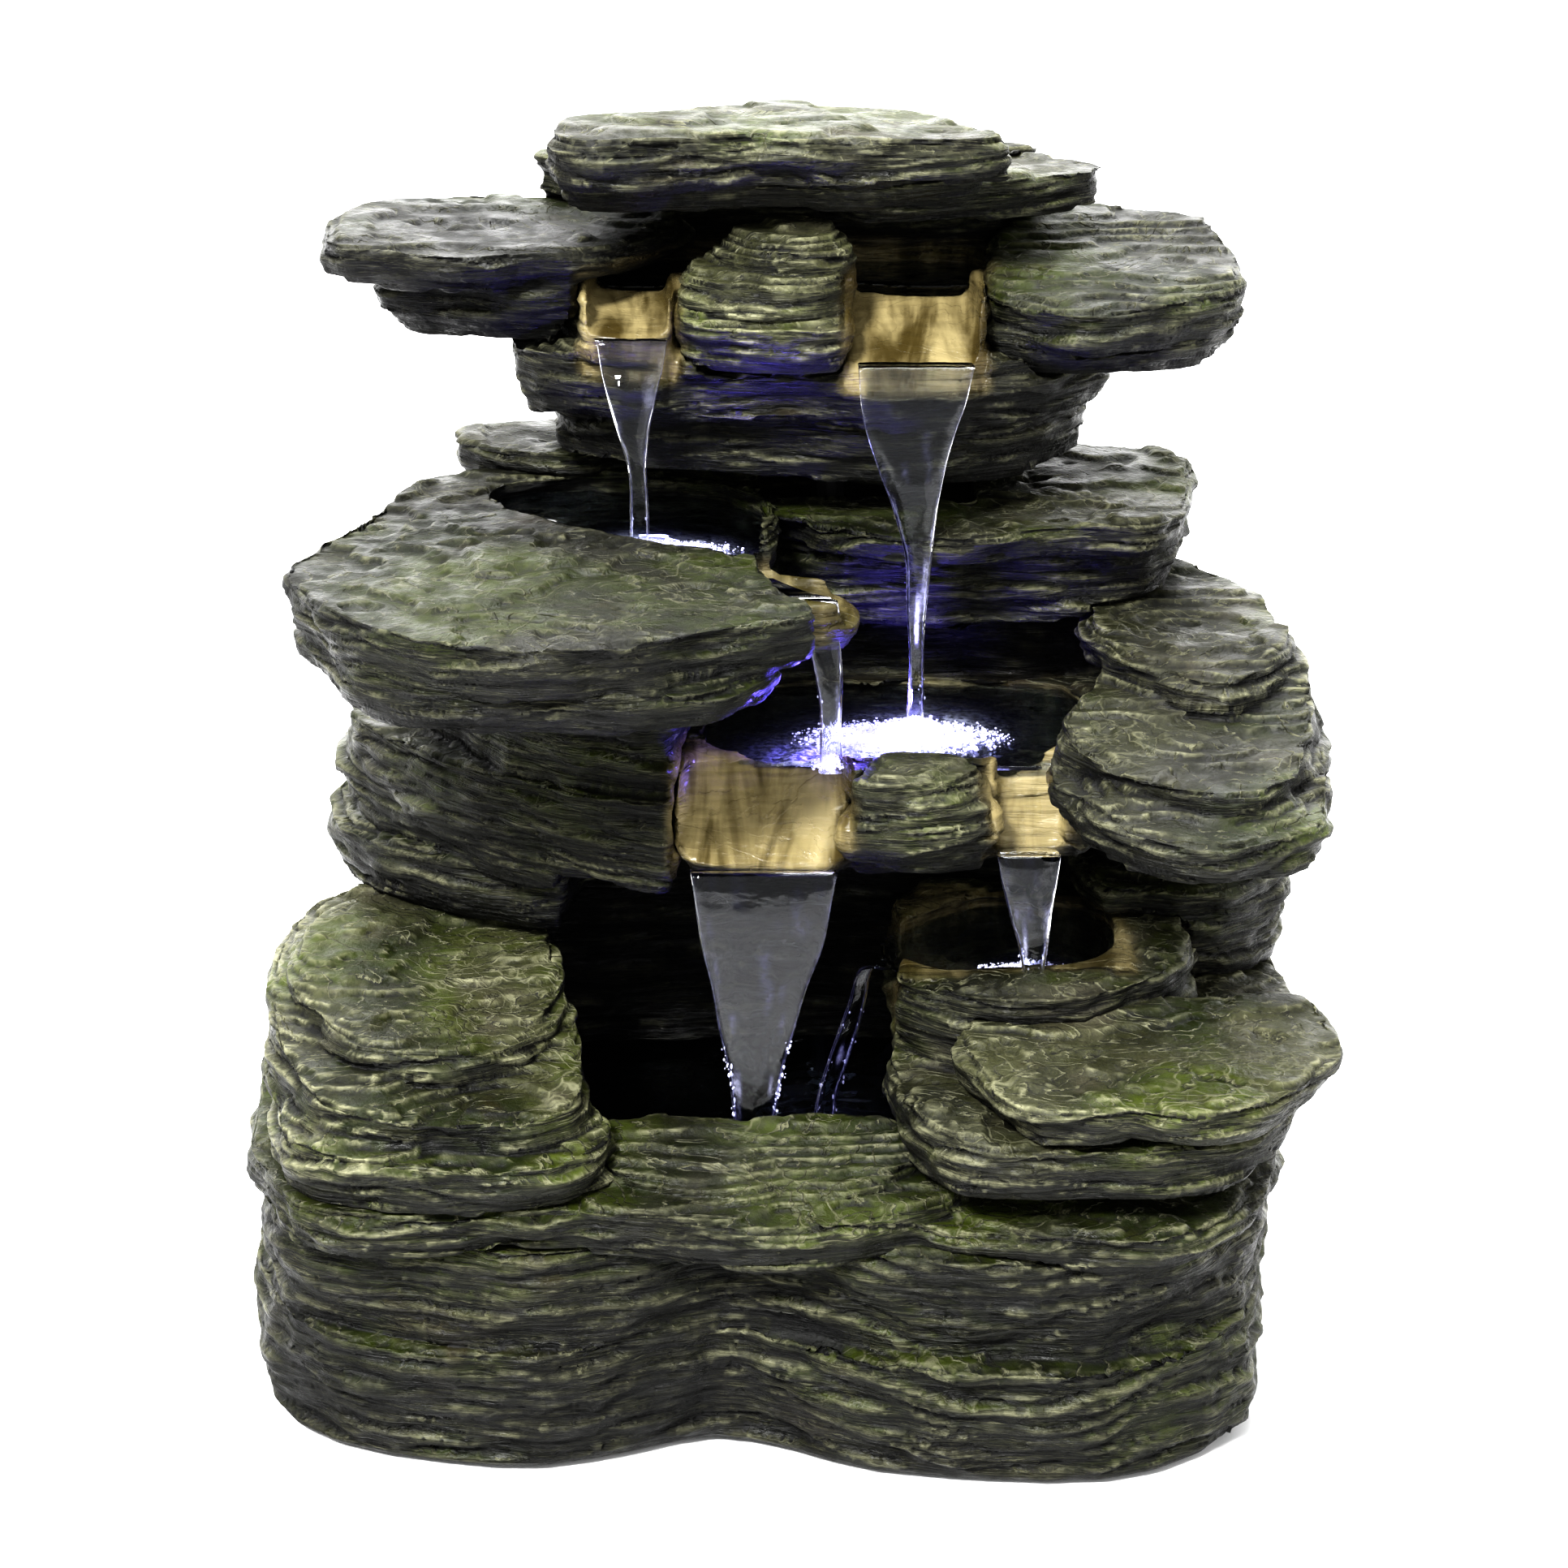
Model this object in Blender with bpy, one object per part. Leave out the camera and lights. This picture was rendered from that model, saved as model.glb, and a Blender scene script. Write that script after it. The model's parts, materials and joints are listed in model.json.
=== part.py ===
"""A tabletop fountain of stacked slate: four pools that spill into each other around a dark cavern.

The body is a set of cast stone sections bonded to each other. The lowest section is a tub, which
is the water reservoir. A pump in the tub lifts the water through a hose inside the hollow column
to the top pool. Three lights stand in the pools. A panel in the back of the column reaches them.

+X is right, the front faces -Y, +Z is up, and the origin is on the ground under the middle.
Section outlines are written on a grid of 445 x 330 x 500 units, which WIDTH, DEPTH and HEIGHT
stretch to the real size. Hardware has sizes of its own, in metres.
"""

import math
from collections import namedtuple

import bmesh
import bpy
from mathutils import Matrix, Vector

# Overall size and the grid that the outlines are drawn on
WIDTH, DEPTH, HEIGHT = 0.445, 0.330, 0.500
GRID_X, GRID_Y, GRID_Z = 445.0, 330.0, 500.0

# Clearances
GAP = 0.0003
RUN = 0.0006
PANEL_CLEARANCE = 0.0006

# Castings
TUB_WALL = 0.015
TUB_FLOOR = 0.008
TUB_LIFT = 0.002
SHELL_WALL = 0.012

# Feet
FOOT_RADIUS = 0.011
FOOT_SOCKET = 0.003

# Pump
PUMP_LENGTH, PUMP_WIDTH, PUMP_HEIGHT = 0.040, 0.040, 0.040
PUMP_LIFT = 0.006
ROTOR_RADIUS, ROTOR_LENGTH = 0.0065, 0.022
BLADE_RADIUS, BLADE_LENGTH = 0.0120, 0.007
BLADES = 6
AXLE_RADIUS = 0.0011
COVER_LENGTH, COVER_WALL = 0.016, 0.002
DIAL_RADIUS, DIAL_THICK = 0.010, 0.0025
CUP_RADIUS, CUP_STEM = 0.0070, 0.0022

# Water way
HOSE_RADIUS, HOSE_BORE = 0.0070, 0.0050
BARB_RADIUS, BARB_BORE, BARB_LENGTH = 0.0047, 0.0033, 0.012
CLAMP_WIDTH, CLAMP_THICK = 0.006, 0.0012
FLANGE_RADIUS, FLANGE_THICK = 0.0130, 0.0030
STEM_RADIUS = 0.0080
WASHER_THICK = 0.0015
NUT_RADIUS, NUT_THICK = 0.0125, 0.0060

# Lights
POD_RADIUS, POD_HEIGHT, POD_WALL = 0.0110, 0.0100, 0.0025
LENS_RISE = 0.0035
LEAD_RADIUS, LEAD_EXIT = 0.0016, 0.0035
JUNCTION_SIZE = (0.022, 0.012, 0.030)

# Power
CABLE_RADIUS = 0.0026
GLAND_RADIUS, GLAND_FLANGE = 0.0065, 0.0100

# Back panel and drain
PANEL_WIDTH, PANEL_HEIGHT, PANEL_THICK = 0.098, 0.096, 0.0040
PANEL_LAND = 0.0120
GASKET_THICK = 0.0012
SCREW_RADIUS, SCREW_HEAD, SCREW_LENGTH = 0.0016, 0.0032, 0.0100
DRAIN_RADIUS, DRAIN_FLANGE = 0.0060, 0.0100

# Levels on the grid
LEDGE_LOW, FLOOR_LEVEL = 96, 10
COLUMN_BACK = 154
CHASE_LEFT, CHASE_RIGHT, CHASE_FRONT, CHASE_TOP = -12, 80, 72, 391
HOLLOW_LEFT, HOLLOW_RIGHT, HOLLOW_FRONT, HOLLOW_TOP = -126, 142, 76, 284
INNER_BACK = 130
TOP_BED, LEFT_BED, MID_BED, RIGHT_BED = 401, 318, 240, 159

Slab = namedtuple("Slab", "outline low high tilt under lip")


def slab(outline, low, high, tilt=(0.0, 0.0), under=4.0, lip=3.0):
    """One layer of rock: its outline, levels, slopes along x and y, and the pull-in below and on top."""
    return Slab(outline, low, high, tilt, under, lip)


# ---------------------------------------------------------------- rock outlines, on the grid

TUB = [
    slab([(-221, -30), (-211, -98), (-182, -133), (-136, -149), (-96, -153), (-58, -141), (-28, -129),
          (2, -139), (36, -156), (104, -165), (150, -156), (186, -120), (200, -50), (203, 60),
          (190, 138), (110, 162), (0, 165), (-110, 161), (-196, 140), (-220, 60)], 2, 54, under=3, lip=2),
    slab([(-214, -40), (-208, -90), (-186, -122), (-130, -141), (-92, -146), (-52, -134), (-24, -126),
          (8, -134), (44, -146), (100, -153), (146, -146), (182, -112), (203, -60), (209, 50),
          (196, 136), (110, 160), (0, 162), (-110, 158), (-196, 134), (-216, 50)], 50, 96, under=3, lip=2),
]
LEDGE_MOUTH = [(-186, 30), (-182, -56), (-150, -98), (-112, -106), (-84, -92), (-48, -88), (-10, -92),
               (24, -88), (52, -96), (100, -118), (150, -110), (178, -56), (174, 40), (150, 130),
               (-160, 130)]
CAVERN = [(-88, -52), (-76, -78), (-48, -88), (-10, -92), (24, -88), (40, -74), (48, -44), (48, 0),
          (40, 44), (0, 52), (-50, 50), (-84, 30), (-92, -26)]
RIM_LEDGE = [
    slab([(-219, -58), (-214, -100), (-194, -138), (-160, -150), (-124, -150), (-96, -146), (-76, -146),
          (-46, -152), (-16, -157), (14, -156), (40, -148), (66, -134), (80, -100), (90, 40), (60, 90),
          (-120, 100), (-205, 60)], LEDGE_LOW, 117, (0, 0.06), 6, 4),
    slab([(-84, -96), (-66, -122), (-40, -136), (-8, -142), (22, -138), (46, -124), (58, -98), (52, -70),
          (10, -70), (-60, -70)], 108, 125, (0, 0.28), 4, 5),
    slab([(30, -120), (52, -143), (84, -150), (118, -156), (146, -158), (168, -146), (186, -122),
          (204, -70), (206, 16), (180, 70), (110, 80), (60, 60)], LEDGE_LOW, 111, (0, 0.05), 5, 4),
]
LEFT_BOULDER = [
    slab([(-213, -40), (-208, -88), (-196, -126), (-170, -145), (-130, -152), (-96, -149), (-74, -137),
          (-64, -112), (-76, -84), (-84, -50), (-92, 0), (-118, 42), (-180, 62), (-212, 16)],
         118, 140, (0, 0.05), 5, 3),
    slab([(-211, -36), (-204, -84), (-186, -118), (-158, -134), (-122, -139), (-92, -132), (-75, -112),
          (-78, -84), (-86, -48), (-92, 0), (-118, 40), (-172, 56), (-206, 18)], 137, 160, (0, 0.16), 4, 3),
    slab([(-202, -20), (-194, -64), (-168, -96), (-132, -106), (-104, -94), (-90, -66), (-90, -30),
          (-98, 6), (-122, 34), (-164, 40), (-196, 16)], 153, 172, (0, 0.12), 4, 4),
]
RIGHT_BASIN = [
    slab([(62, -60), (84, -112), (150, -116), (190, -70), (196, 50), (140, 84), (70, 56)], 106, 130,
         (0, 0), 0, 0),
    slab([(36, -12), (38, -66), (46, -96), (54, -128), (70, -148), (98, -156), (128, -154), (166, -148),
          (198, -124), (213, -80), (215, -20), (206, 60), (150, 92), (60, 62)], 125, 148, (0, 0.04), 6, 3),
    slab([(34, -6), (31, -36), (42, -62), (74, -84), (116, -86), (156, -62), (170, -20), (164, 34),
          (124, 56), (62, 42)], 144, 180, (0, 0), 2, 4),
]
RIGHT_POOL = slab([(48, -8), (46, -32), (60, -50), (96, -54), (128, -42), (138, -12), (126, 18), (84, 26)],
                  RIGHT_BED, 190, (0, 0), 6, 0)
RIGHT_SPOUT = slab([(20, -14), (20, -38), (60, -40), (60, -12)], 170, 190, (0.15, 0), 2, 0)
FLAGSTONE = [
    slab([(70, -96), (76, -74), (92, -60), (142, -54), (198, -46), (221, -58), (223, -94), (211, -124),
          (190, -148), (156, -163), (134, -154), (98, -157), (82, -132)], 149, 166, (0, 0.05), 5, 3),
]
RIGHT_CRAG = [
    slab([(124, 8), (148, -8), (184, -6), (212, 24), (216, 84), (186, 138), (120, 136)], 152, 196,
         (0, 0), 3, 3),
    slab([(132, 30), (160, 10), (194, 14), (211, 50), (200, 112), (130, 118)], 192, 228, (0, 0.05), 4, 5),
    slab([(122, 44), (152, 26), (192, 28), (207, 66), (186, 118), (124, 120)], 224, 252, (0, 0), 3, 4),
]
COLUMN = [
    slab([(-207, 62), (-201, 132), (-110, 156), (0, 159), (110, 157), (190, 134), (202, 62), (120, 60),
          (0, 62), (-120, 58)], LEDGE_LOW, 120, (0, 0), 2, 4),
    slab([(-146, 66), (-104, 50), (-42, 58), (26, 60), (62, 56), (128, 66), (166, 92), (168, 148),
          (60, 158), (-60, 158), (-152, 150)], 112, 176, (0, 0), 2, 3),
    slab([(-142, 60), (-96, 46), (-40, 54), (30, 56), (70, 48), (132, 62), (164, 92), (164, 148),
          (60, 158), (-60, 158), (-150, 146)], 172, 228, (0, 0), 3, 2),
    slab([(-138, 66), (-66, 52), (-30, 64), (60, 68), (126, 70), (168, 92), (166, 146), (60, 158),
          (-60, 158), (-148, 146)], 225, 296, (0, 0), 3, 3),
]
LEFT_CRAGS = [
    slab([(-196, 88), (-186, 44), (-160, 12), (-122, -10), (-92, -18), (-72, -4), (-74, 50), (-110, 110),
          (-172, 142)], 180, 206, (0, 0), 8, 3),
    slab([(-193, 90), (-184, 50), (-158, 16), (-124, -22), (-90, -46), (-58, -60), (-40, -58), (-36, 0),
          (-46, 60), (-120, 130), (-176, 138)], 203, 250, (0, -0.05), 9, 4),
    slab([(-172, 98), (-160, 60), (-142, 24), (-116, -22), (-82, -42), (-48, -52), (-37, -38), (-36, 30),
          (-50, 70), (-110, 124), (-156, 132)], 246, 276, (0, 0), 4, 6),
    slab([(-150, 100), (-142, 60), (-130, 16), (-110, -28), (-78, -42), (-46, -48), (-36, -34), (-36, 30),
          (-50, 70), (-100, 120), (-136, 126)], 270, 307, (0, 0), 3, 3),
]
MID_BASIN = [
    slab([(-38, 60), (-43, 10), (-45, -34), (-41, -66), (-20, -72), (20, -73), (30, -60), (62, -58),
          (82, -52), (90, -49), (112, -49), (124, -44), (138, -20), (146, 30), (140, 76), (60, 80)],
         222, 246, (0, 0), 7, 1),
    slab([(-38, 62), (-43, 10), (-44, -30), (-40, -60), (-18, -66), (18, -66), (30, -56), (62, -54),
          (84, -46), (112, -46), (126, -44), (140, -20), (148, 30), (142, 78), (60, 82)],
         242, 264, (0, 0), 1, 3),
]
MID_POOL = slab([(-24, 56), (-32, 16), (-31, -16), (-10, -30), (30, -32), (74, -34), (104, -32), (114, -8),
                 (126, 22), (120, 60), (50, 66)], MID_BED, 280, (0, 0), 5, 0)
WIDE_CHUTE = slab([(-36, -24), (-36, -90), (21, -90), (21, -24)], 239, 300, (0, 0.84), 1, 0)
NARROW_CHUTE = slab([(88, -24), (88, -60), (112, -60), (112, -24)], 236, 330, (0, 2.6), 1, 0)
MID_STONE = [
    slab([(20, -74), (40, -78), (64, -76), (86, -66), (88, -46), (66, -36), (34, -38), (24, -52)],
         230, 249, (0, 0.1), 8, 2),
    slab([(26, -66), (44, -74), (70, -70), (85, -56), (80, -42), (60, -36), (36, -40)], 246, 267,
         (0, 0.1), 2, 6),
]
RIGHT_TIER = [
    slab([(104, -56), (114, -98), (134, -124), (158, -138), (180, -136), (206, -120), (219, -80),
          (219, -22), (212, 34), (190, 76), (150, 78), (140, 16), (116, -30)], 254, 274, (0, 0.12), 6, 3),
    slab([(108, -48), (120, -84), (148, -108), (184, -112), (210, -76), (214, 0), (204, 62), (176, 88),
          (146, 74), (136, 16), (118, -20)], 271, 289, (0, 0.14), 3, 3),
    slab([(126, 16), (144, -22), (180, -44), (206, -10), (210, 44), (186, 100), (148, 118), (130, 76)],
         287, 303, (0, 0.06), 3, 4),
]
LEFT_TIER = [
    slab([(-140, 96), (-168, 62), (-182, 14), (-196, -34), (-192, -62), (-174, -88), (-158, -114),
          (-124, -130), (-86, -134), (-50, -136), (-22, -126), (-4, -106), (0, -84), (-12, -50),
          (-14, -10), (-14, 60), (-50, 100)], 308, 325, (0, 0), 6, 4),
    slab([(-144, 104), (-164, 78), (-176, 42), (-188, 6), (-199, -40), (-184, -80), (-158, -114),
          (-124, -134), (-94, -144), (-60, -138), (-24, -120), (4, -108), (13, -92), (0, -62), (-6, -34),
          (-4, 0), (0, 40), (-14, 90), (-70, 112)], 323, 345, (0, 0), 4, 3),
    slab([(-30, -34), (4, -40), (28, -34), (31, -10), (18, 6), (-8, 16), (-30, 16)], 306, 328,
         (0, 0), 4, 2),
]
LEFT_POOL = slab([(-124, 78), (-116, 52), (-96, 28), (-78, 12), (-50, -4), (-24, -6), (-10, 16), (-8, 56),
                  (-24, 84), (-70, 98), (-110, 94)], LEFT_BED, 360, (0, 0), 5, 0)
LEFT_CHUTE = slab([(-34, 14), (-26, -10), (2, -26), (40, -40), (44, -4), (6, 6)], 323, 360,
                  (-0.12, 0.1), 2, 0)
NECK = [
    slab([(-128, 104), (-62, 84), (-6, 66), (14, 46), (48, 38), (92, 34), (138, 38), (164, 66),
          (164, 142), (60, 158), (-60, 158), (-130, 146)], 296, 332, (0, 0), 4, 3),
    slab([(-136, 124), (-110, 104), (-50, 96), (-14, 66), (10, 36), (42, 14), (74, 10), (110, 24),
          (146, 26), (170, 46), (175, 100), (164, 140), (60, 158), (-60, 158), (-128, 150)],
         329, 344, (0, 0.01), 4, 3),
    slab([(-142, 128), (-132, 104), (-104, 92), (-76, 96), (-60, 104), (60, 92), (100, 100), (100, 140),
          (0, 157), (-118, 154)], 342, 357, (0, 0), 2, 3),
]
TOP_BASIN = [
    slab([(-100, 104), (-90, 68), (-62, 52), (-30, 45), (14, 41), (62, 43), (94, 54), (122, 82),
          (132, 120), (114, 150), (0, 158), (-88, 151)], 358, 386, (0, 0), 3, 2),
    slab([(-114, 86), (-100, 54), (-66, 38), (-26, 30), (20, 28), (70, 30), (112, 46), (136, 80),
          (140, 124), (116, 152), (0, 160), (-100, 154)], 383, 412, (0, 0), 5, 2),
    slab([(-84, 56), (-80, 34), (-46, 33), (-42, 52), (-20, 66), (10, 66), (26, 50), (30, 27), (78, 27),
          (84, 50), (92, 90), (98, 150), (0, 160), (-100, 156), (-96, 96)], 408, 436, (0, 0), 2, 2),
    slab([(-104, 156), (-92, 132), (-40, 128), (40, 128), (90, 130), (112, 154), (0, 161)],
         430, 477, (0, 0), 2, 3),
]
TOP_POOL = slab([(-74, 124), (-78, 92), (-60, 82), (-20, 88), (20, 88), (60, 82), (82, 90), (80, 124),
                 (0, 127)], TOP_BED, 452, (0, 0), 3, 0)
LEFT_FALL = slab([(-78, 96), (-78, 16), (-48, 16), (-48, 96)], 424, 470, (0, 0.17), 1, 0)
RIGHT_FALL = slab([(30, 96), (30, 10), (77, 10), (77, 96)], 416, 470, (0, 0.34), 1, 0)
TOP_LEFT_LEDGE = [
    slab([(-172, 84), (-158, 64), (-122, 52), (-92, 46), (-82, 54), (-86, 100), (-94, 140), (-134, 150),
          (-166, 122)], 410, 441, (0, 0), 16, 3),
    slab([(-192, 58), (-187, 96), (-178, 128), (-150, 151), (-106, 153), (-68, 147), (-44, 118),
          (-44, 92), (-66, 58), (-82, 46), (-108, 42), (-134, 34), (-168, 43)], 438, 456, (0, 0.02), 5, 3),
]
TOP_RIGHT_LEDGE = [
    slab([(84, 56), (88, 110), (108, 146), (148, 150), (178, 122), (187, 86), (176, 58), (150, 42),
          (116, 37), (96, 44)], 406, 427, (0, 0.08), 6, 3),
    slab([(83, 62), (86, 110), (96, 140), (112, 156), (136, 160), (162, 156), (184, 142), (193, 110),
          (192, 78), (177, 50), (155, 36), (128, 28), (114, 32), (98, 42)], 424, 441, (0, 0.16), 4, 3),
]
WEDGE_STONE = [
    slab([(-42, 56), (-43, 36), (-28, 24), (4, 17), (26, 22), (29, 48), (10, 70), (-22, 72)],
         408, 430, (0, 0.15), 7, 1),
    slab([(-40, 62), (-38, 40), (-16, 28), (14, 30), (29, 46), (28, 66), (10, 86), (-18, 84)],
         428, 447, (0.1, 0.2), 1, 4),
    slab([(-26, 66), (-14, 44), (8, 38), (25, 50), (24, 70), (8, 84), (-12, 80)], 444, 459,
         (0.1, 0.15), 1, 6),
]
CAP_LOWER = [
    slab([(18, 76), (44, 64), (80, 72), (112, 84), (133, 96), (139, 114), (126, 130), (92, 146), (44, 150),
          (10, 118)], 458, 478, (0, 0), 4, 3),
]
CAP_UPPER = [
    slab([(-92, 62), (-80, 46), (-50, 48), (-10, 50), (30, 46), (64, 50), (84, 66), (70, 100), (30, 128),
          (-30, 132), (-72, 108)], 470, 484, (0, 0), 6, 2),
    slab([(-98, 54), (-94, 78), (-72, 102), (-44, 117), (0, 122), (46, 118), (64, 102), (86, 77), (95, 50),
          (78, 38), (48, 37), (16, 33), (-22, 39), (-58, 32), (-86, 36)], 481, 500, (0, 0), 4, 5),
]

# Places on the grid: pump, top inlet, lights, back panel, cable outlet, drain and feet
PUMP_AT = (14, 92)
INLET_AT = (20, 110)
LEFT_POD, MID_POD, LOW_POD = (-52, 42), (40, 8), (-8, -50)
PANEL_AT = (34, 181)
GLAND_AT = (62, 113)
JUNCTION_AT = (58, 262)
DRAIN_AT = (-60, 24)
FEET_AT = [(-150, -92), (145, -100), (-150, 112), (145, 112)]


# The layers of each section made so far, by the section's name
rocks = {}


# ---------------------------------------------------------------- grid and mesh helpers

def across(x):
    return x * WIDTH / GRID_X


def along(y):
    return y * DEPTH / GRID_Y


def up(z):
    return z * HEIGHT / GRID_Z


def on_grid(x, y, z):
    return Vector((across(x), along(y), up(z)))


def clear_scene():
    for obj in list(bpy.data.objects):
        bpy.data.objects.remove(obj, do_unlink=True)


def smooth_outline(outline):
    """The closed outline, anticlockwise, with one more point on the curve between each two."""
    area = sum(a[0] * b[1] - b[0] * a[1] for a, b in zip(outline, outline[1:] + outline[:1]))
    points = [Vector(p) for p in (outline if area > 0 else outline[::-1])]
    count = len(points)
    smooth = []
    for i in range(count):
        before, here, after, beyond = (points[(i + k) % count] for k in (-1, 0, 1, 2))
        smooth.append(here)
        smooth.append((9 * (here + after) - before - beyond) / 16)
    return smooth


def offset_outline(points, distance):
    """The outline moved outwards by a distance, or inwards when it is negative."""
    moved = []
    count = len(points)
    for i, point in enumerate(points):
        edge = points[(i + 1) % count] - points[i - 1]
        normal = Vector((edge.y, -edge.x)).normalized()
        moved.append(point + normal * distance)
    return moved


def new_object(name, mesh):
    obj = bpy.data.objects.new(name, mesh)
    bpy.context.scene.collection.objects.link(obj)
    return obj


def from_rings(name, rings, loop=False, split=False):
    """A closed mesh through rings of points. A ring of one point is a tip.

    Split sides always take the same diagonal, so that a grown copy of a solid has the same facets.
    """
    mesh = bmesh.new()
    rows = [[mesh.verts.new(p) for p in ring] for ring in rings]
    pairs = list(zip(rows, rows[1:] + rows[:1] if loop else rows[1:]))
    for low, high in pairs:
        count = max(len(low), len(high))
        for i in range(count):
            after = i + 1
            corners = [low[i % len(low)], low[after % len(low)], high[after % len(high)], high[i % len(high)]]
            corners = list(dict.fromkeys(corners))
            if split and len(corners) == 4:
                mesh.faces.new(corners[:3])
                mesh.faces.new([corners[0], *corners[2:]])
            else:
                mesh.faces.new(corners)
    if not loop:
        for row in (rows[0], rows[-1]):
            if len(row) > 2:
                mesh.faces.new(row)
    bmesh.ops.recalc_face_normals(mesh, faces=mesh.faces)
    data = bpy.data.meshes.new(name)
    mesh.to_mesh(data)
    mesh.free()
    return new_object(name, data)


def slab_solid(layer, grow=0.0, name="layer"):
    """The solid of one rock layer, larger all round by grow."""
    flat = [Vector((across(p.x), along(p.y))) for p in smooth_outline(layer.outline)]
    middle = sum(flat, Vector((0, 0))) / len(flat)
    unit = across(1)
    height = layer.high - layer.low
    levels = [
        (up(layer.low) - grow, layer.under * unit),
        (up(layer.low + 0.45 * height), 0.0),
        (up(layer.high) + grow, layer.lip * unit),
    ]
    rings = []
    for level, pull_in in levels:
        ring = offset_outline(flat, grow - pull_in)
        rings.append([
            (p.x, p.y, level + layer.tilt[0] * (p.x - middle.x) + layer.tilt[1] * (p.y - middle.y))
            for p in ring
        ])
    return from_rings(name, rings, split=True)


def prism(outline, low, high, offset=0.0):
    """A straight cutter between two heights in metres, from an outline on the grid."""
    flat = offset_outline([Vector((across(p.x), along(p.y))) for p in smooth_outline(outline)], offset)
    return from_rings("cutter", [[(p.x, p.y, low) for p in flat], [(p.x, p.y, high) for p in flat]])


def block(name, low, high, bevel=0.0):
    """A box between two corners, with its edges cut back by bevel."""
    mesh = bmesh.new()
    bmesh.ops.create_cube(mesh, size=1.0)
    low, high = Vector(low), Vector(high)
    size, centre = high - low, (high + low) / 2
    for vert in mesh.verts:
        vert.co = Vector(vert.co[k] * size[k] + centre[k] for k in range(3))
    if bevel:
        bmesh.ops.bevel(mesh, geom=mesh.edges[:], offset=bevel, segments=1, affect="EDGES")
    data = bpy.data.meshes.new(name)
    mesh.to_mesh(data)
    mesh.free()
    return new_object(name, data)


def turned(name, profile, foot, axis=(0, 0, 1), sides=12):
    """A solid of revolution. The profile's (radius, height) points run up from foot along axis."""
    turn = Vector((0, 0, 1)).rotation_difference(Vector(axis)).to_matrix().to_4x4()
    place = Matrix.Translation(Vector(foot)) @ turn
    rings = []
    for radius, height in profile:
        if radius == 0:
            rings.append([place @ Vector((0, 0, height))])
            continue
        steps = [2 * math.pi * (k + 0.5) / sides for k in range(sides)]
        rings.append([place @ Vector((radius * math.cos(a), radius * math.sin(a), height)) for a in steps])
    solid = profile[0][0] == 0 and profile[-1][0] == 0
    return from_rings(name, rings, loop=not solid)


def rod(name, start, end, radius, sides=12):
    """A plain round bar between two points."""
    length = (Vector(end) - Vector(start)).length
    return turned(name, [(0, 0), (radius, 0), (radius, length), (0, length)], start,
                  Vector(end) - Vector(start), sides)


def curve_through(points, steps):
    """Points along a smooth curve through the given ones."""
    points = [Vector(p) for p in points]
    ends = [2 * points[0] - points[1]] + points + [2 * points[-1] - points[-2]]
    path = []
    for a, b, c, d in zip(ends, ends[1:], ends[2:], ends[3:]):
        for k in range(steps):
            t = k / steps
            path.append(0.5 * (2 * b + (c - a) * t + (2 * a - 5 * b + 4 * c - d) * t * t
                               + (3 * b - a - 3 * c + d) * t ** 3))
    return path + [points[-1]]


def tube(name, points, radius, bore=0.0, sides=6, steps=2):
    """A hose or lead along a smooth curve. With a bore it is hollow and open at both ends."""
    path = curve_through(points, steps)
    headings = [b - a for a, b in zip(path, path[2:])]
    headings = [Vector(points[1]) - path[0], *headings, path[-1] - Vector(points[-2])]
    upright = abs(headings[0].normalized().z) > 0.7
    side = Vector((1, 0.2, 0.1)) if upright else Vector((0.3, 0.2, 1))
    outer, inner = [], []
    for point, heading in zip(path, headings):
        ahead = heading.normalized()
        side = (side - ahead * side.dot(ahead)).normalized()
        other = ahead.cross(side)
        angles = [2 * math.pi * k / sides for k in range(sides)]
        spokes = [side * math.cos(a) + other * math.sin(a) for a in angles]
        outer.append([point + spoke * radius for spoke in spokes])
        inner.append([point + spoke * bore for spoke in spokes])
    if not bore:
        return from_rings(name, outer)
    return from_rings(name, outer + inner[::-1], loop=True)


def combine(target, other, operation):
    """Applies one Boolean to the target, and removes the other solid.

    The stone sections meet in many nearly parallel faces, where EXACT loses the solid, so they
    take the MANIFOLD solver.
    """
    modifier = target.modifiers.new("shape", "BOOLEAN")
    modifier.operation = operation
    modifier.object = other
    modifier.solver = "MANIFOLD" if target.name in rocks else "EXACT"
    graph = bpy.context.evaluated_depsgraph_get()
    result = bpy.data.meshes.new_from_object(target.evaluated_get(graph))
    target.modifiers.remove(modifier)
    target.data = result
    bpy.data.objects.remove(other, do_unlink=True)


def cut(target, *cutters):
    for cutter in cutters:
        combine(target, cutter, "DIFFERENCE")


def join(target, *others):
    for other in others:
        combine(target, other, "UNION")


def keep_main_body(obj):
    """Leaves the largest connected body, so that no chip of rock hangs loose beside a cut."""
    mesh = bmesh.new()
    mesh.from_mesh(obj.data)
    left = set(mesh.verts)
    bodies = []
    while left:
        edge_of_body = [left.pop()]
        body = set(edge_of_body)
        while edge_of_body:
            vert = edge_of_body.pop()
            for edge in vert.link_edges:
                other = edge.other_vert(vert)
                if other not in body:
                    body.add(other)
                    edge_of_body.append(other)
        left -= body
        bodies.append(body)

    def spread(body):
        return math.prod(max(v.co[k] for v in body) - min(v.co[k] for v in body) for k in range(3))

    bodies.sort(key=spread, reverse=True)
    for body in bodies[1:]:
        bmesh.ops.delete(mesh, geom=list(body), context="VERTS")
    mesh.to_mesh(obj.data)
    mesh.free()


def paint(obj, material):
    obj.data.materials.clear()
    obj.data.materials.append(material)
    return obj


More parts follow.
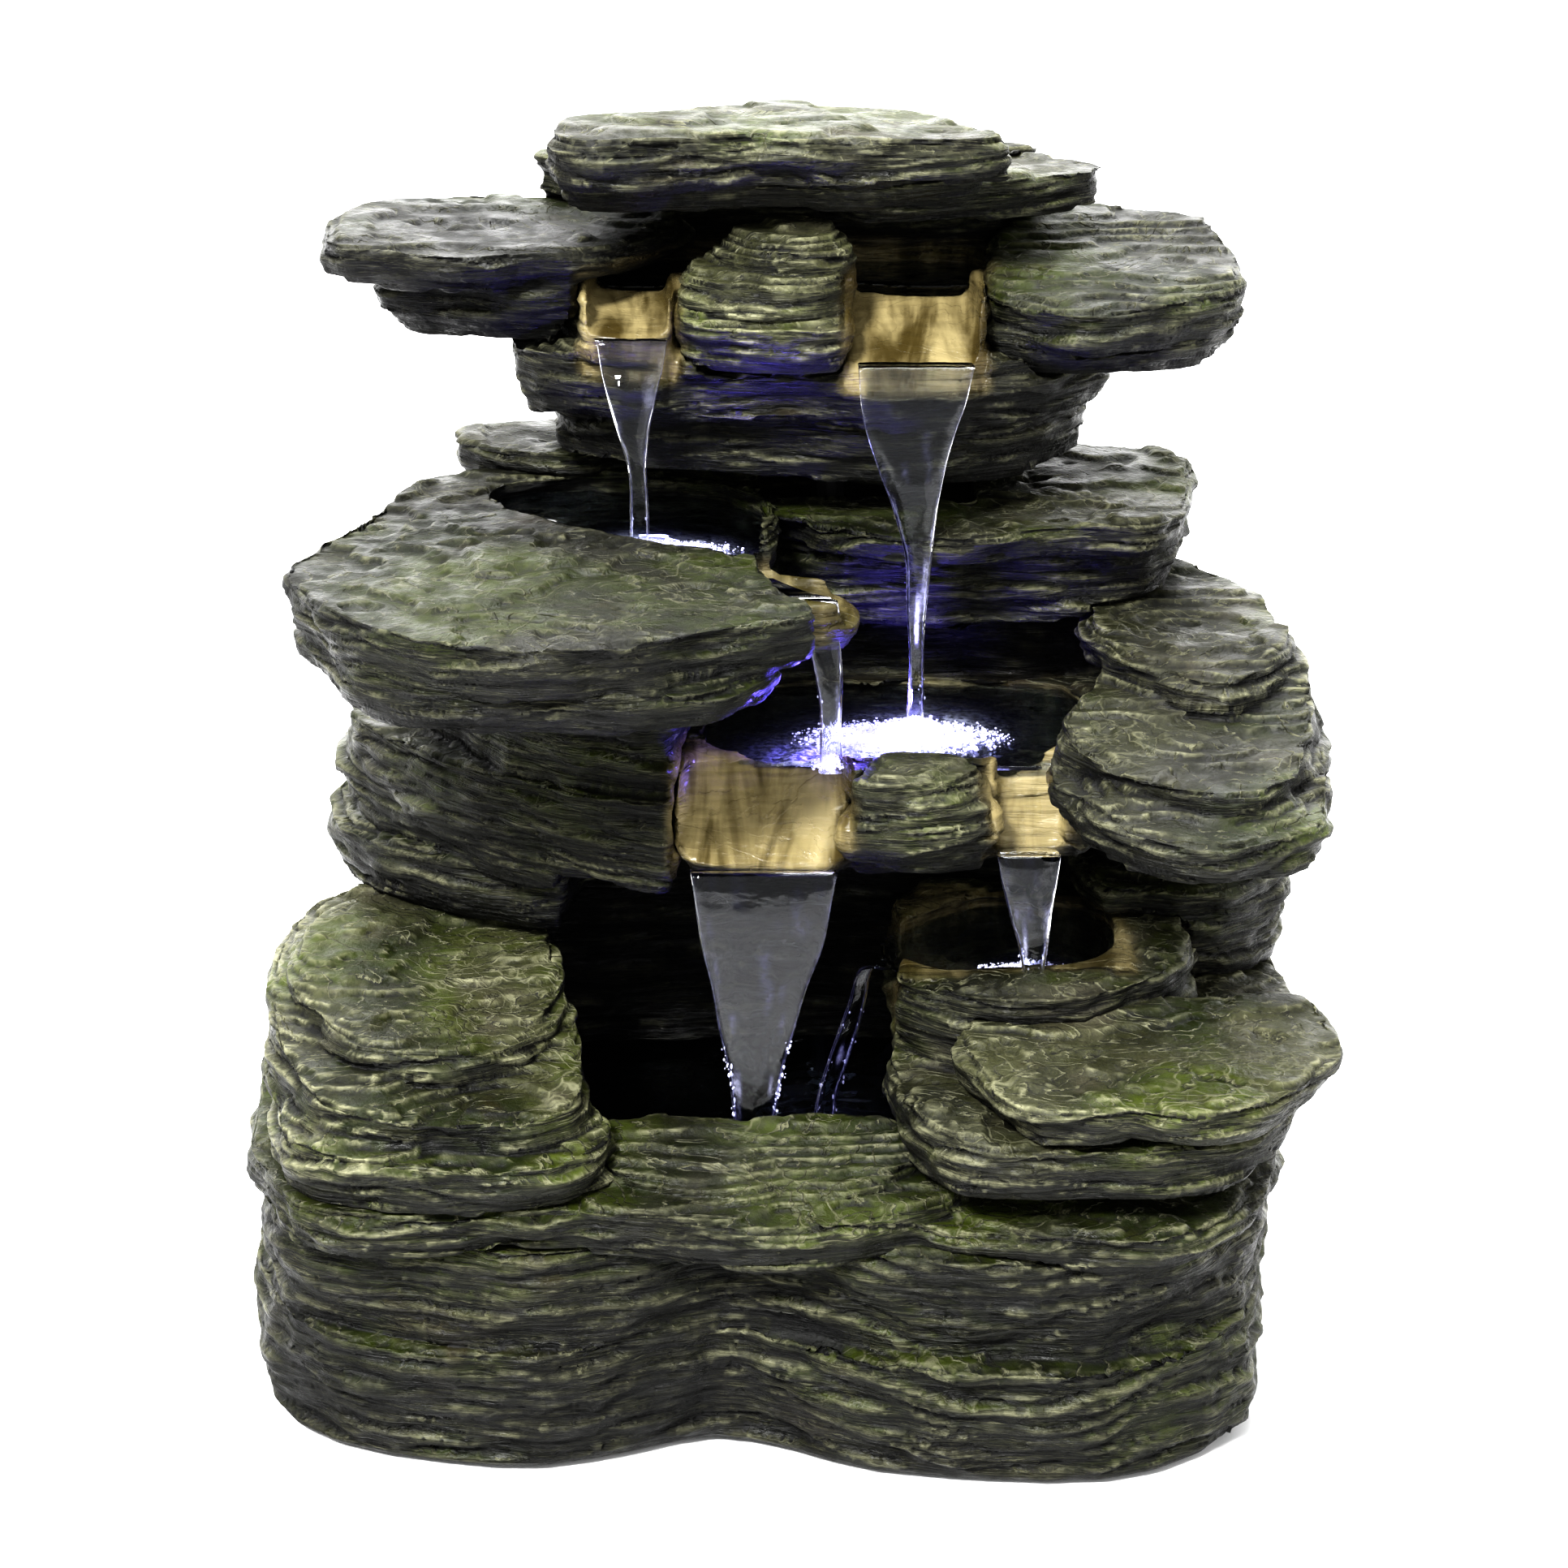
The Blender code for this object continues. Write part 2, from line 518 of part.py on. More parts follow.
def material(name, colour, roughness, metallic=0.0):
    made = bpy.data.materials.new(name)
    made.use_nodes = True
    shader = made.node_tree.nodes["Principled BSDF"]
    shader.inputs["Base Color"].default_value = (*colour, 1.0)
    shader.inputs["Roughness"].default_value = roughness
    shader.inputs["Metallic"].default_value = metallic
    return made


def set_origin(obj, point):
    """Puts the object's origin at a point on its joint's axis."""
    obj.data.transform(Matrix.Translation(-Vector(point)))
    obj.location = point


# ---------------------------------------------------------------- rock sections

def near(layer, other):
    """Whether the boxes around two layers meet, with the fall of their slopes."""
    def span(item, k):
        if k < 2:
            values = [p[k] for p in item.outline]
            return min(values), max(values)
        reach = sum(abs(item.tilt[j]) * (span(item, j)[1] - span(item, j)[0]) for j in (0, 1))
        return item.low - reach, item.high + reach

    return all(span(layer, k)[0] < span(other, k)[1] + 2 and span(other, k)[0] < span(layer, k)[1] + 2
               for k in range(3))


def rock(name, layers, colour):
    """Joins a section's layers and cuts back what the sections made before it fill."""
    earlier = [other for section in rocks.values() for other in section]
    rocks[name] = layers
    section = slab_solid(layers[0], name=name)
    join(section, *(slab_solid(layer) for layer in layers[1:]))
    for other in earlier:
        if any(near(layer, other) for layer in layers):
            cut(section, slab_solid(other, GAP))
    return paint(section, material(name + "_stone", colour, 0.75))


def chase_cutter():
    return block("cutter", on_grid(CHASE_LEFT, CHASE_FRONT, LEDGE_LOW - 4),
                 on_grid(CHASE_RIGHT, INNER_BACK, CHASE_TOP))


def hollow_cutter():
    return block("cutter", on_grid(HOLLOW_LEFT, HOLLOW_FRONT, LEDGE_LOW - 4),
                 on_grid(HOLLOW_RIGHT, INNER_BACK, HOLLOW_TOP))


def cavern_cutter():
    return prism(CAVERN, up(FLOOR_LEVEL), up(214))


def lead_hole(start, end, name="hole"):
    return rod(name, start, end, LEAD_RADIUS + RUN, sides=10)


def left_lead_hole():
    return lead_hole(on_grid(-40, 66, LEFT_BED + 4), on_grid(6, 104, LEFT_BED + 4))


def mid_lead_hole():
    return lead_hole(on_grid(40, 44, MID_BED + 4), on_grid(40, 92, MID_BED + 4))


def make_base():
    tub = rock("reservoir_tub", TUB, (0.16, 0.17, 0.12))
    floor = TUB_LIFT + TUB_FLOOR
    cut(tub, prism(TUB[1].outline, floor, up(LEDGE_LOW) + 0.01, -TUB_WALL))
    for x, y in FEET_AT:
        foot = on_grid(x, y, 0)
        roof = TUB_LIFT + FOOT_SOCKET
        profile = [(0, -0.01), (FOOT_RADIUS + RUN, -0.01), (FOOT_RADIUS + RUN, roof), (0, roof)]
        cut(tub, turned("socket", profile, foot, sides=16))
    cut(tub, *drain_cutters())


def make_column():
    column = rock("back_column", COLUMN, (0.14, 0.15, 0.11))
    flat_back = block("cutter", on_grid(-300, COLUMN_BACK, 0), on_grid(300, 400, 600))
    cut(column, flat_back, hollow_cutter(), chase_cutter(), mid_lead_hole(),
        *panel_cutters(), *gland_cutters())
    keep_main_body(column)


def make_lower_rocks():
    ledge = rock("rim_ledge", RIM_LEDGE, (0.20, 0.21, 0.14))
    cut(ledge, prism(LEDGE_MOUTH, up(LEDGE_LOW) - 0.01, up(150)))
    keep_main_body(ledge)
    rock("flagstone", FLAGSTONE, (0.25, 0.26, 0.22))
    boulder = rock("left_boulder", LEFT_BOULDER, (0.24, 0.25, 0.18))
    cut(boulder, cavern_cutter(), prism(LEFT_BOULDER[1].outline, 0.0, up(146), -SHELL_WALL))
    keep_main_body(boulder)
    basin = rock("right_basin", RIGHT_BASIN, (0.23, 0.24, 0.17))
    cut(basin, cavern_cutter(), slab_solid(RIGHT_POOL), slab_solid(RIGHT_SPOUT),
        prism(RIGHT_BASIN[0].outline, 0.0, up(140), -SHELL_WALL))
    keep_main_body(basin)
    crag = rock("right_crag", RIGHT_CRAG, (0.20, 0.22, 0.13))
    keep_main_body(crag)


def make_middle_tiers():
    tier = rock("left_tier", LEFT_TIER, (0.24, 0.25, 0.18))
    cut(tier, slab_solid(LEFT_POOL), slab_solid(LEFT_CHUTE), left_lead_hole())
    rock("divider_stone", MID_STONE, (0.26, 0.27, 0.22))
    basin = rock("middle_basin", MID_BASIN, (0.30, 0.26, 0.14))
    cut(basin, slab_solid(MID_POOL), slab_solid(WIDE_CHUTE), slab_solid(NARROW_CHUTE), mid_lead_hole())
    keep_main_body(basin)
    shelf = rock("right_tier", RIGHT_TIER, (0.24, 0.25, 0.18))
    keep_main_body(shelf)
    crags = rock("left_crags", LEFT_CRAGS, (0.18, 0.19, 0.13))
    cut(crags, cavern_cutter())
    keep_main_body(crags)
    neck = rock("upper_column", NECK, (0.19, 0.20, 0.14))
    cut(neck, chase_cutter(), left_lead_hole())
    keep_main_body(neck)


def make_top():
    rock("top_left_ledge", TOP_LEFT_LEDGE, (0.25, 0.26, 0.18))
    rock("top_right_ledge", TOP_RIGHT_LEDGE, (0.25, 0.26, 0.18))
    rock("wedge_stone", WEDGE_STONE, (0.30, 0.31, 0.27))
    basin = rock("top_basin", TOP_BASIN, (0.28, 0.25, 0.15))
    inlet = on_grid(*INLET_AT, CHASE_TOP)
    rise = Vector((0, 0, 0.02))
    cut(basin, slab_solid(TOP_POOL), slab_solid(LEFT_FALL), slab_solid(RIGHT_FALL), chase_cutter(),
        rod("cutter", inlet - rise, inlet + rise, STEM_RADIUS + RUN, sides=16))
    keep_main_body(basin)
    rock("cap_slab_lower", CAP_LOWER, (0.25, 0.26, 0.18))
    rock("cap_slab_upper", CAP_UPPER, (0.26, 0.27, 0.19))


# ---------------------------------------------------------------- fittings

BLACK = (0.02, 0.02, 0.02)


def plastic(name):
    return material(name + "_plastic", BLACK, 0.45)


def rubber(name):
    return material(name + "_rubber", (0.03, 0.03, 0.03), 0.8)


def steel(name):
    return material(name + "_steel", (0.6, 0.6, 0.62), 0.3, 1.0)


def ring(name, foot, outer, inner, length, axis=(0, 0, 1), sides=12):
    return turned(name, [(outer, 0), (outer, length), (inner, length), (inner, 0)], foot, axis, sides)


def make_feet():
    for number, (x, y) in enumerate(FEET_AT, 1):
        height = TUB_LIFT + FOOT_SOCKET - GAP
        edge = 0.001
        profile = [(0, 0), (FOOT_RADIUS - edge, 0), (FOOT_RADIUS, edge), (FOOT_RADIUS, height), (0, height)]
        foot = turned(f"foot_pad_{number}", profile, on_grid(x, y, 0), sides=16)
        paint(foot, rubber(foot.name))


def drain_face():
    """The back of the tub at the drain, a little inside the rock so that the seat is whole."""
    return on_grid(DRAIN_AT[0], 159, DRAIN_AT[1])


def drain_cutters():
    face = drain_face()
    inside = face - Vector((0, 0.05, 0))
    return [rod("cutter", inside, face + Vector((0, 0.01, 0)), DRAIN_RADIUS + RUN, 16),
            rod("cutter", face, face + Vector((0, 0.03, 0)), DRAIN_FLANGE + RUN, 16)]


def make_drain_plug():
    stem, flange = along(159) - along(146), 0.003
    profile = [(0, -stem), (DRAIN_RADIUS - 0.0006, -stem), (DRAIN_RADIUS, -stem + 0.002), (DRAIN_RADIUS, GAP),
               (DRAIN_FLANGE, GAP), (DRAIN_FLANGE, flange), (0.004, flange), (0.003, flange + 0.002),
               (0, flange + 0.002)]
    plug = turned("drain_plug", profile, drain_face(), (0, 1, 0), 12)
    paint(plug, rubber("drain_plug"))
    set_origin(plug, drain_face())


def panel_centre():
    return on_grid(PANEL_AT[0], COLUMN_BACK, PANEL_AT[1])


def panel_box(name, half_x, half_z, near, far, bevel=0.0):
    """A box centred on the panel, from near to far behind the column's back face."""
    c = panel_centre()
    low = (c.x - half_x, c.y - far, c.z - half_z)
    return block(name, low, (c.x + half_x, c.y - near, c.z + half_z), bevel)


def screw_places():
    inset = 0.0045
    c = panel_centre()
    return [c + Vector((sx * (PANEL_WIDTH / 2 - inset), -PANEL_CLEARANCE, sz * (PANEL_HEIGHT / 2 - inset)))
            for sz in (-1, 1) for sx in (-1, 1)]


def seat_depth():
    return PANEL_THICK + GASKET_THICK + 2 * GAP + PANEL_CLEARANCE


def panel_cutters():
    opening_x, opening_z = PANEL_WIDTH / 2 - PANEL_LAND, PANEL_HEIGHT / 2 - PANEL_LAND
    cutters = [panel_box("cutter", PANEL_WIDTH / 2 + PANEL_CLEARANCE, PANEL_HEIGHT / 2 + PANEL_CLEARANCE,
                         -0.01, seat_depth()),
               panel_box("cutter", opening_x, opening_z, -0.01, along(COLUMN_BACK) - along(120))]
    for head in screw_places():
        tip = head - Vector((0, SCREW_LENGTH + 0.002, 0))
        cutters.append(rod("cutter", tip, head, SCREW_RADIUS + 0.0003, 10))
    return cutters


def make_back_panel():
    panel = panel_box("back_panel", PANEL_WIDTH / 2, PANEL_HEIGHT / 2, PANEL_CLEARANCE,
                      PANEL_CLEARANCE + PANEL_THICK, 0.0008)
    grip = on_grid(PANEL_AT[0], COLUMN_BACK, PANEL_AT[1]) - Vector((0, PANEL_CLEARANCE + 0.002, 0))
    cut(panel, block("cutter", grip + Vector((-0.012, 0, -0.005)), grip + Vector((0.012, 0.01, 0.005))))
    for number, head in enumerate(screw_places(), 1):
        through = Vector((0, 0.01, 0))
        cut(panel, rod("cutter", head - through, head + through, SCREW_RADIUS + RUN, 12))
        crown = 0.0018
        profile = [(0, -SCREW_LENGTH), (SCREW_RADIUS, -SCREW_LENGTH + 0.002), (SCREW_RADIUS, GAP),
                   (SCREW_HEAD, GAP), (SCREW_HEAD, crown * 0.6), (SCREW_HEAD * 0.6, crown), (0, crown)]
        screw = turned(f"panel_screw_{number}", profile, head, (0, 1, 0), 12)
        slot = Vector((0.0022, 0.01, 0.0004))
        cut(screw, block("cutter", head + Vector((0, crown * 0.5, 0)) - Vector((slot.x, 0, slot.z)),
                         head + Vector((slot.x, slot.y, slot.z))))
        paint(screw, steel(screw.name))
        set_origin(screw, head)
    paint(panel, material("back_panel_stone", (0.2, 0.2, 0.16), 0.8))
    set_origin(panel, panel_centre())
    opening_x, opening_z = PANEL_WIDTH / 2 - PANEL_LAND, PANEL_HEIGHT / 2 - PANEL_LAND
    deep = PANEL_CLEARANCE + PANEL_THICK + GAP
    inner_x, inner_z, rim = opening_x + PANEL_CLEARANCE, opening_z + PANEL_CLEARANCE, 0.004
    gasket = panel_box("panel_gasket", inner_x + rim, inner_z + rim, deep, deep + GASKET_THICK)
    cut(gasket, panel_box("cutter", inner_x, inner_z, deep - 0.01, deep + 0.02))
    paint(gasket, rubber("panel_gasket"))


def gland_face():
    return on_grid(GLAND_AT[0], COLUMN_BACK, GLAND_AT[1])


def gland_cutters():
    face = gland_face()
    return [rod("cutter", face - Vector((0, 0.04, 0)), face + Vector((0, 0.01, 0)), GLAND_RADIUS + RUN, 16)]


def make_gland():
    bore = CABLE_RADIUS + GAP
    wall = along(COLUMN_BACK) - along(INNER_BACK)
    face = gland_face()
    nut = 0.005
    stem = wall + nut + 0.003
    profile = [(bore, -stem), (GLAND_RADIUS, -stem), (GLAND_RADIUS, GAP), (GLAND_FLANGE, GAP),
               (GLAND_FLANGE, 0.003), (GLAND_RADIUS, 0.0045), (GLAND_RADIUS - 0.001, 0.009), (bore, 0.009)]
    gland = turned("cable_gland", profile, face, (0, 1, 0), 12)
    paint(gland, plastic("cable_gland"))
    foot = face - Vector((0, wall + GAP + nut, 0))
    paint(ring("gland_nut", foot, 0.0095, GLAND_RADIUS + GAP, nut, (0, 1, 0), 6 * 2), plastic("gland_nut"))


def pump_floor():
    return TUB_LIFT + TUB_FLOOR


def pump_corner():
    """The low, front, left corner of the pump's housing: its intake face is on the left."""
    x, y = across(PUMP_AT[0]), along(PUMP_AT[1])
    return Vector((x, y - PUMP_WIDTH / 2, pump_floor() + PUMP_LIFT))


def rotor_axis():
    """Where the rotor's axis meets the housing's intake face."""
    return pump_corner() + Vector((0, PUMP_WIDTH / 2, PUMP_HEIGHT * 0.5))


def outlet_foot():
    return pump_corner() + Vector((BARB_RADIUS + 0.001, PUMP_WIDTH / 2, PUMP_HEIGHT))


def cup_places():
    inset = 0.008
    c = pump_corner()
    return [c + Vector((x, y, 0)) for y in (inset, PUMP_WIDTH - inset) for x in (inset, PUMP_LENGTH - inset)]


def make_pump():
    c, axis = pump_corner(), rotor_axis()
    housing = block("pump_housing", c, c + Vector((PUMP_LENGTH, PUMP_WIDTH, PUMP_HEIGHT)), 0.003)
    chamber = BLADE_LENGTH + 2 * RUN
    into, rise = Vector((1, 0, 0)), Vector((0, 0, 0.012))
    cut(housing,
        rod("cutter", axis - into * 0.01, axis + into * chamber, BLADE_RADIUS + 0.0012, 16),
        rod("cutter", axis, axis + into * (chamber + ROTOR_LENGTH + RUN), ROTOR_RADIUS + RUN, 16),
        rod("cutter", outlet_foot() - rise, outlet_foot() + rise, BARB_BORE, 12))
    for place in cup_places():
        cut(housing, rod("cutter", place - Vector((0, 0, 0.002)), place + Vector((0, 0, 0.005)),
                         CUP_STEM + GAP, 10))
    paint(housing, plastic("pump_housing"))
    make_impeller(axis, chamber)
    axle_length = chamber + ROTOR_LENGTH - 0.002
    axle = rod("impeller_axle", axis + into * 0.001, axis + into * axle_length, AXLE_RADIUS, 10)
    paint(axle, material("impeller_axle_ceramic", (0.8, 0.8, 0.78), 0.3))
    nozzle = turned("outlet_nozzle",
                    [(BARB_BORE, GAP), (BARB_RADIUS + 0.0009, GAP), (BARB_RADIUS + 0.0009, 0.002),
                     (BARB_RADIUS, 0.002), (BARB_RADIUS, BARB_LENGTH - 0.002),
                     (BARB_RADIUS - 0.0006, BARB_LENGTH), (BARB_BORE, BARB_LENGTH)],
                    outlet_foot(), sides=16)
    paint(nozzle, plastic("outlet_nozzle"))
    for number, place in enumerate(cup_places(), 1):
        make_suction_cup(number, place)


def make_impeller(axis, chamber):
    bore = AXLE_RADIUS + 0.0003
    into = Vector((1, 0, 0))
    start = axis + into * RUN
    disc = 0.0015
    hub = 0.0030
    profile = [(bore, 0.0012), (hub, 0.0012), (hub, BLADE_LENGTH - disc),
               (BLADE_RADIUS, BLADE_LENGTH - disc), (BLADE_RADIUS, BLADE_LENGTH),
               (ROTOR_RADIUS, BLADE_LENGTH),
               (ROTOR_RADIUS, BLADE_LENGTH + ROTOR_LENGTH), (bore, BLADE_LENGTH + ROTOR_LENGTH)]
    impeller = turned("impeller", profile, start, into, 16)
    for k in range(BLADES):
        blade = block("blade", (0.0012, -0.0005, 0.0022), (BLADE_LENGTH - disc / 2, 0.0005, BLADE_RADIUS))
        spin = Matrix.Rotation(2 * math.pi * k / BLADES, 4, "X")
        blade.data.transform(Matrix.Translation(start) @ spin)
        join(impeller, blade)
    paint(impeller, material("impeller_blue", (0.10, 0.12, 0.2), 0.4))
    set_origin(impeller, axis + into * chamber)


def make_suction_cup(number, place):
    lift = PUMP_LIFT - GAP
    foot = place - Vector((0, 0, lift))
    profile = [(0, 0.0016), (CUP_RADIUS * 0.7, GAP), (CUP_RADIUS, GAP), (CUP_RADIUS * 0.55, 0.0040),
               (CUP_STEM, 0.0045), (CUP_STEM, lift + 0.0035), (0, lift + 0.0035)]
    cup = turned(f"suction_cup_{number}", profile, foot, sides=12)
    paint(cup, rubber(cup.name))


def make_intake_cover():
    """The cover that pulls off the intake face, and the dial on it that throttles the inlet."""
    c, axis = pump_corner(), rotor_axis()
    face = c.x - GAP
    low = Vector((face - COVER_LENGTH, c.y, c.z))
    cover = block("intake_cover", low, (face, c.y + PUMP_WIDTH, c.z + PUMP_HEIGHT), 0.0015)
    cut(cover, block("cutter", low + Vector((COVER_WALL,) * 3),
                     (face + 0.01, c.y + PUMP_WIDTH - COVER_WALL, c.z + PUMP_HEIGHT - COVER_WALL)))
    slots = 4
    for k in range(slots):
        for side in (-1, 1):
            middle = c.z + PUMP_HEIGHT * (k + 1) / (slots + 1)
            y = axis.y + side * (DIAL_RADIUS + 0.0045)
            cut(cover, block("cutter", (low.x - 0.01, y - 0.0020, middle - 0.0015),
                             (low.x + COVER_WALL + 0.001, y + 0.0020, middle + 0.0015)))
    hub = axis - Vector((axis.x - low.x, 0, 0))
    cut(cover, rod("cutter", hub - Vector((0.01, 0, 0)), hub + Vector((0.01, 0, 0)), 0.0022 + RUN, 16))
    paint(cover, plastic("intake_cover"))
    set_origin(cover, Vector((face, axis.y, axis.z)))
    foot = hub - Vector((GAP, 0, 0))
    profile = [(0, -COVER_WALL - 0.002), (0.0022, -COVER_WALL - 0.002), (0.0022, 0), (DIAL_RADIUS, 0),
               (DIAL_RADIUS, DIAL_THICK), (0, DIAL_THICK)]
    dial = turned("flow_dial", profile, foot, (-1, 0, 0), 16)
    tip = foot - Vector((DIAL_THICK - 0.0005, 0, 0))
    pointer_low = tip + Vector((-0.002, -0.001, 0.001))
    join(dial, block("pointer", pointer_low, tip + Vector((0, 0.001, DIAL_RADIUS))))
    paint(dial, material("flow_dial_grey", (0.25, 0.25, 0.26), 0.5))
    set_origin(dial, foot)


def inlet_seat():
    return on_grid(*INLET_AT, TOP_BED)


def barb_tip():
    """The low end of the inlet fitting, where the hose's top end comes to."""
    under_floor = up(CHASE_TOP)
    return Vector((inlet_seat().x, inlet_seat().y, under_floor - NUT_THICK - 2 * GAP - BARB_LENGTH - 0.001))


def make_inlet():
    seat, tip = inlet_seat(), barb_tip()
    under_floor = up(CHASE_TOP)
    depth = seat.z - under_floor
    top = WASHER_THICK + 2 * GAP
    shoulder = -depth - NUT_THICK - 3 * GAP
    end = tip.z - seat.z
    outlet = 0.014
    profile = [(BARB_BORE, end), (BARB_RADIUS - 0.0006, end), (BARB_RADIUS, end + 0.002),
               (BARB_RADIUS, shoulder), (STEM_RADIUS, shoulder), (STEM_RADIUS, top), (FLANGE_RADIUS, top),
               (FLANGE_RADIUS, top + FLANGE_THICK), (BARB_RADIUS + 0.002, top + FLANGE_THICK + 0.001),
               (BARB_RADIUS + 0.002, outlet), (BARB_BORE, outlet)]
    paint(turned("inlet_fitting", profile, seat, sides=16), plastic("inlet_fitting"))
    paint(ring("inlet_washer", seat + Vector((0, 0, GAP)), FLANGE_RADIUS, STEM_RADIUS + GAP, WASHER_THICK),
          rubber("inlet_washer"))
    nut_foot = Vector((seat.x, seat.y, under_floor - GAP - NUT_THICK))
    paint(ring("inlet_nut", nut_foot, NUT_RADIUS, STEM_RADIUS + GAP, NUT_THICK), plastic("inlet_nut"))


def make_hose():
    low = outlet_foot() + Vector((0, 0, 0.002 + GAP))
    high = barb_tip() + Vector((0, 0, BARB_LENGTH - 0.001 - GAP))
    rise = Vector((0, 0, 1))
    span = high.z - low.z
    points = [low, low + rise * 0.012, low + rise * 0.06,
              Vector(((low.x + high.x) / 2 + 0.004, (low.y + high.y) / 2 + 0.003, low.z + span / 2)),
              high - rise * 0.06, high - rise * 0.012, high]
    paint(tube("riser_hose", points, HOSE_RADIUS, HOSE_BORE, sides=10),
          material("riser_hose_vinyl", (0.55, 0.6, 0.58), 0.35))
    band = HOSE_RADIUS + GAP
    ends = {"hose_clamp_lower": low + rise * 0.002, "hose_clamp_upper": high - rise * (0.002 + CLAMP_WIDTH)}
    for name, foot in ends.items():
        clamp = ring(name, foot, band + CLAMP_THICK, band, CLAMP_WIDTH)
        ear = foot + Vector((band + CLAMP_THICK * 0.5, -0.003, 0.001))
        join(clamp, block("ear", ear, ear + Vector((0.006, 0.006, CLAMP_WIDTH - 0.002)), 0.0005))
        paint(clamp, steel(name))


def pod_foot(place, bed):
    return Vector((across(place[0]), along(place[1]), bed + GAP))


def make_light(name, foot, route):
    """A light pod with a lens in its top, and the lead from its side."""
    inner = POD_RADIUS - POD_WALL
    shelf = POD_HEIGHT - 0.004
    pod = turned(f"light_pod_{name}",
                 [(0, 0), (POD_RADIUS, 0), (POD_RADIUS, POD_HEIGHT - 0.001),
                  (POD_RADIUS - 0.001, POD_HEIGHT), (inner, POD_HEIGHT), (inner, shelf), (0, shelf)],
                 foot, sides=16)
    paint(pod, plastic(pod.name))
    seat = shelf + GAP
    crown = POD_HEIGHT + LENS_RISE
    lens = turned(f"light_lens_{name}",
                  [(0, seat), (inner - GAP, seat), (inner - GAP, POD_HEIGHT),
                   (inner * 0.75, POD_HEIGHT + LENS_RISE * 0.6), (inner * 0.35, crown), (0, crown)],
                  foot, sides=16)
    paint(lens, material(f"light_lens_{name}_clear", (0.7, 0.7, 1.0), 0.1))
    first = Vector(route[0])
    away = Vector((first.x - foot.x, first.y - foot.y, 0)).normalized()
    start = Vector((foot.x, foot.y, foot.z + LEAD_EXIT)) + away * (POD_RADIUS + GAP)
    paint(tube(f"light_lead_{name}", [start, *route], LEAD_RADIUS), rubber(f"light_lead_{name}"))


def junction_box():
    """Low and high corners of the light junction, which sits on the chase's back wall."""
    centre = on_grid(JUNCTION_AT[0], INNER_BACK, JUNCTION_AT[1])
    wide, deep, tall = JUNCTION_SIZE
    low = centre + Vector((-wide / 2, -deep - GAP, -tall / 2))
    return low, centre + Vector((wide / 2, -GAP, tall / 2))


def make_lights():
    low, high = junction_box()
    paint(block("light_junction", low, high, 0.001), plastic("light_junction"))
    middle_y = (low.y + high.y) / 2
    side = low.x - GAP
    under = low.z - GAP
    height = LEFT_BED + 4
    make_light("left", pod_foot(LEFT_POD, up(LEFT_BED)), [
        on_grid(-40, 66, height), on_grid(-17, 85, height), on_grid(0, 97, height - 1),
        on_grid(10, 87, height - 12), on_grid(30, 90, height - 28),
        Vector((side - 0.006, middle_y, low.z + 0.020)), Vector((side, middle_y, low.z + 0.020))])
    height = MID_BED + 4
    make_light("middle", pod_foot(MID_POD, up(MID_BED)), [
        on_grid(40, 40, height), on_grid(40, 60, height), on_grid(40, 80, height),
        on_grid(42, 92, height + 2),
        Vector((side - 0.008, middle_y, low.z + 0.008)), Vector((side, middle_y, low.z + 0.008))])
    floor = pump_floor() + GAP + LEAD_EXIT
    make_light("lower", pod_foot(LOW_POD, pump_floor()), [
        Vector((across(-30), along(-22), floor)), Vector((across(-58), along(30), floor)),
        Vector((across(-52), along(104), floor)), Vector((across(-24), along(126), floor + 0.003)),
        Vector((across(-8), along(126), floor + 0.016)), Vector((across(0), along(123), up(70))),
        Vector((across(1), along(122), up(120))),
        Vector((across(4), along(122), up(180))), Vector((across(20), along(123), up(225))),
        Vector((low.x + 0.005, middle_y, under - 0.010)), Vector((low.x + 0.005, middle_y, under))])
    top = pump_corner() + Vector((PUMP_LENGTH - 0.006, PUMP_WIDTH * 0.25, PUMP_HEIGHT + GAP))
    paint(tube("light_supply_lead", [
        top, top + Vector((0, 0, 0.010)), Vector((across(70), along(88), up(105))),
        Vector((across(71), along(100), up(170))), Vector((across(68), along(118), up(225))),
        Vector((high.x - 0.004, middle_y, under - 0.008)), Vector((high.x - 0.004, middle_y, under))],
        LEAD_RADIUS), rubber("light_supply_lead"))


def make_cable():
    """The pump's cable, from the housing's top to the outer face of the gland."""
    face = gland_face()
    top = pump_corner() + Vector((PUMP_LENGTH - 0.008, PUMP_WIDTH * 0.75, PUMP_HEIGHT + GAP))
    paint(tube("pump_cable", [
        top, top + Vector((0, 0, 0.010)), Vector((face.x - 0.002, along(102), up(96))),
        Vector((face.x, along(112), face.z - 0.004)), Vector((face.x, along(121), face.z)),
        face - Vector((0, 0.012, 0)), face + Vector((0, 0.0085, 0))], CABLE_RADIUS), rubber("pump_cable"))


def centre_on_ground():
    """Moves everything so that the origin is under the middle of the whole object."""
    bpy.context.view_layer.update()
    made = [o for o in bpy.context.scene.objects if o.type == "MESH"]
    corners = [o.matrix_world @ v.co for o in made for v in o.data.vertices]
    low, high = (Vector(pick(c[k] for c in corners) for k in range(3)) for pick in (min, max))
    shift = Vector(((low.x + high.x) / 2, (low.y + high.y) / 2, low.z))
    for obj in made:
        obj.location -= shift


def main():
    clear_scene()
    make_base()
    make_column()
    make_lower_rocks()
    make_middle_tiers()
    make_top()
    make_feet()
    make_drain_plug()
    make_back_panel()
    make_gland()
    make_pump()
    make_intake_cover()
    make_inlet()
    make_hose()
    make_lights()
    make_cable()
    centre_on_ground()


main()
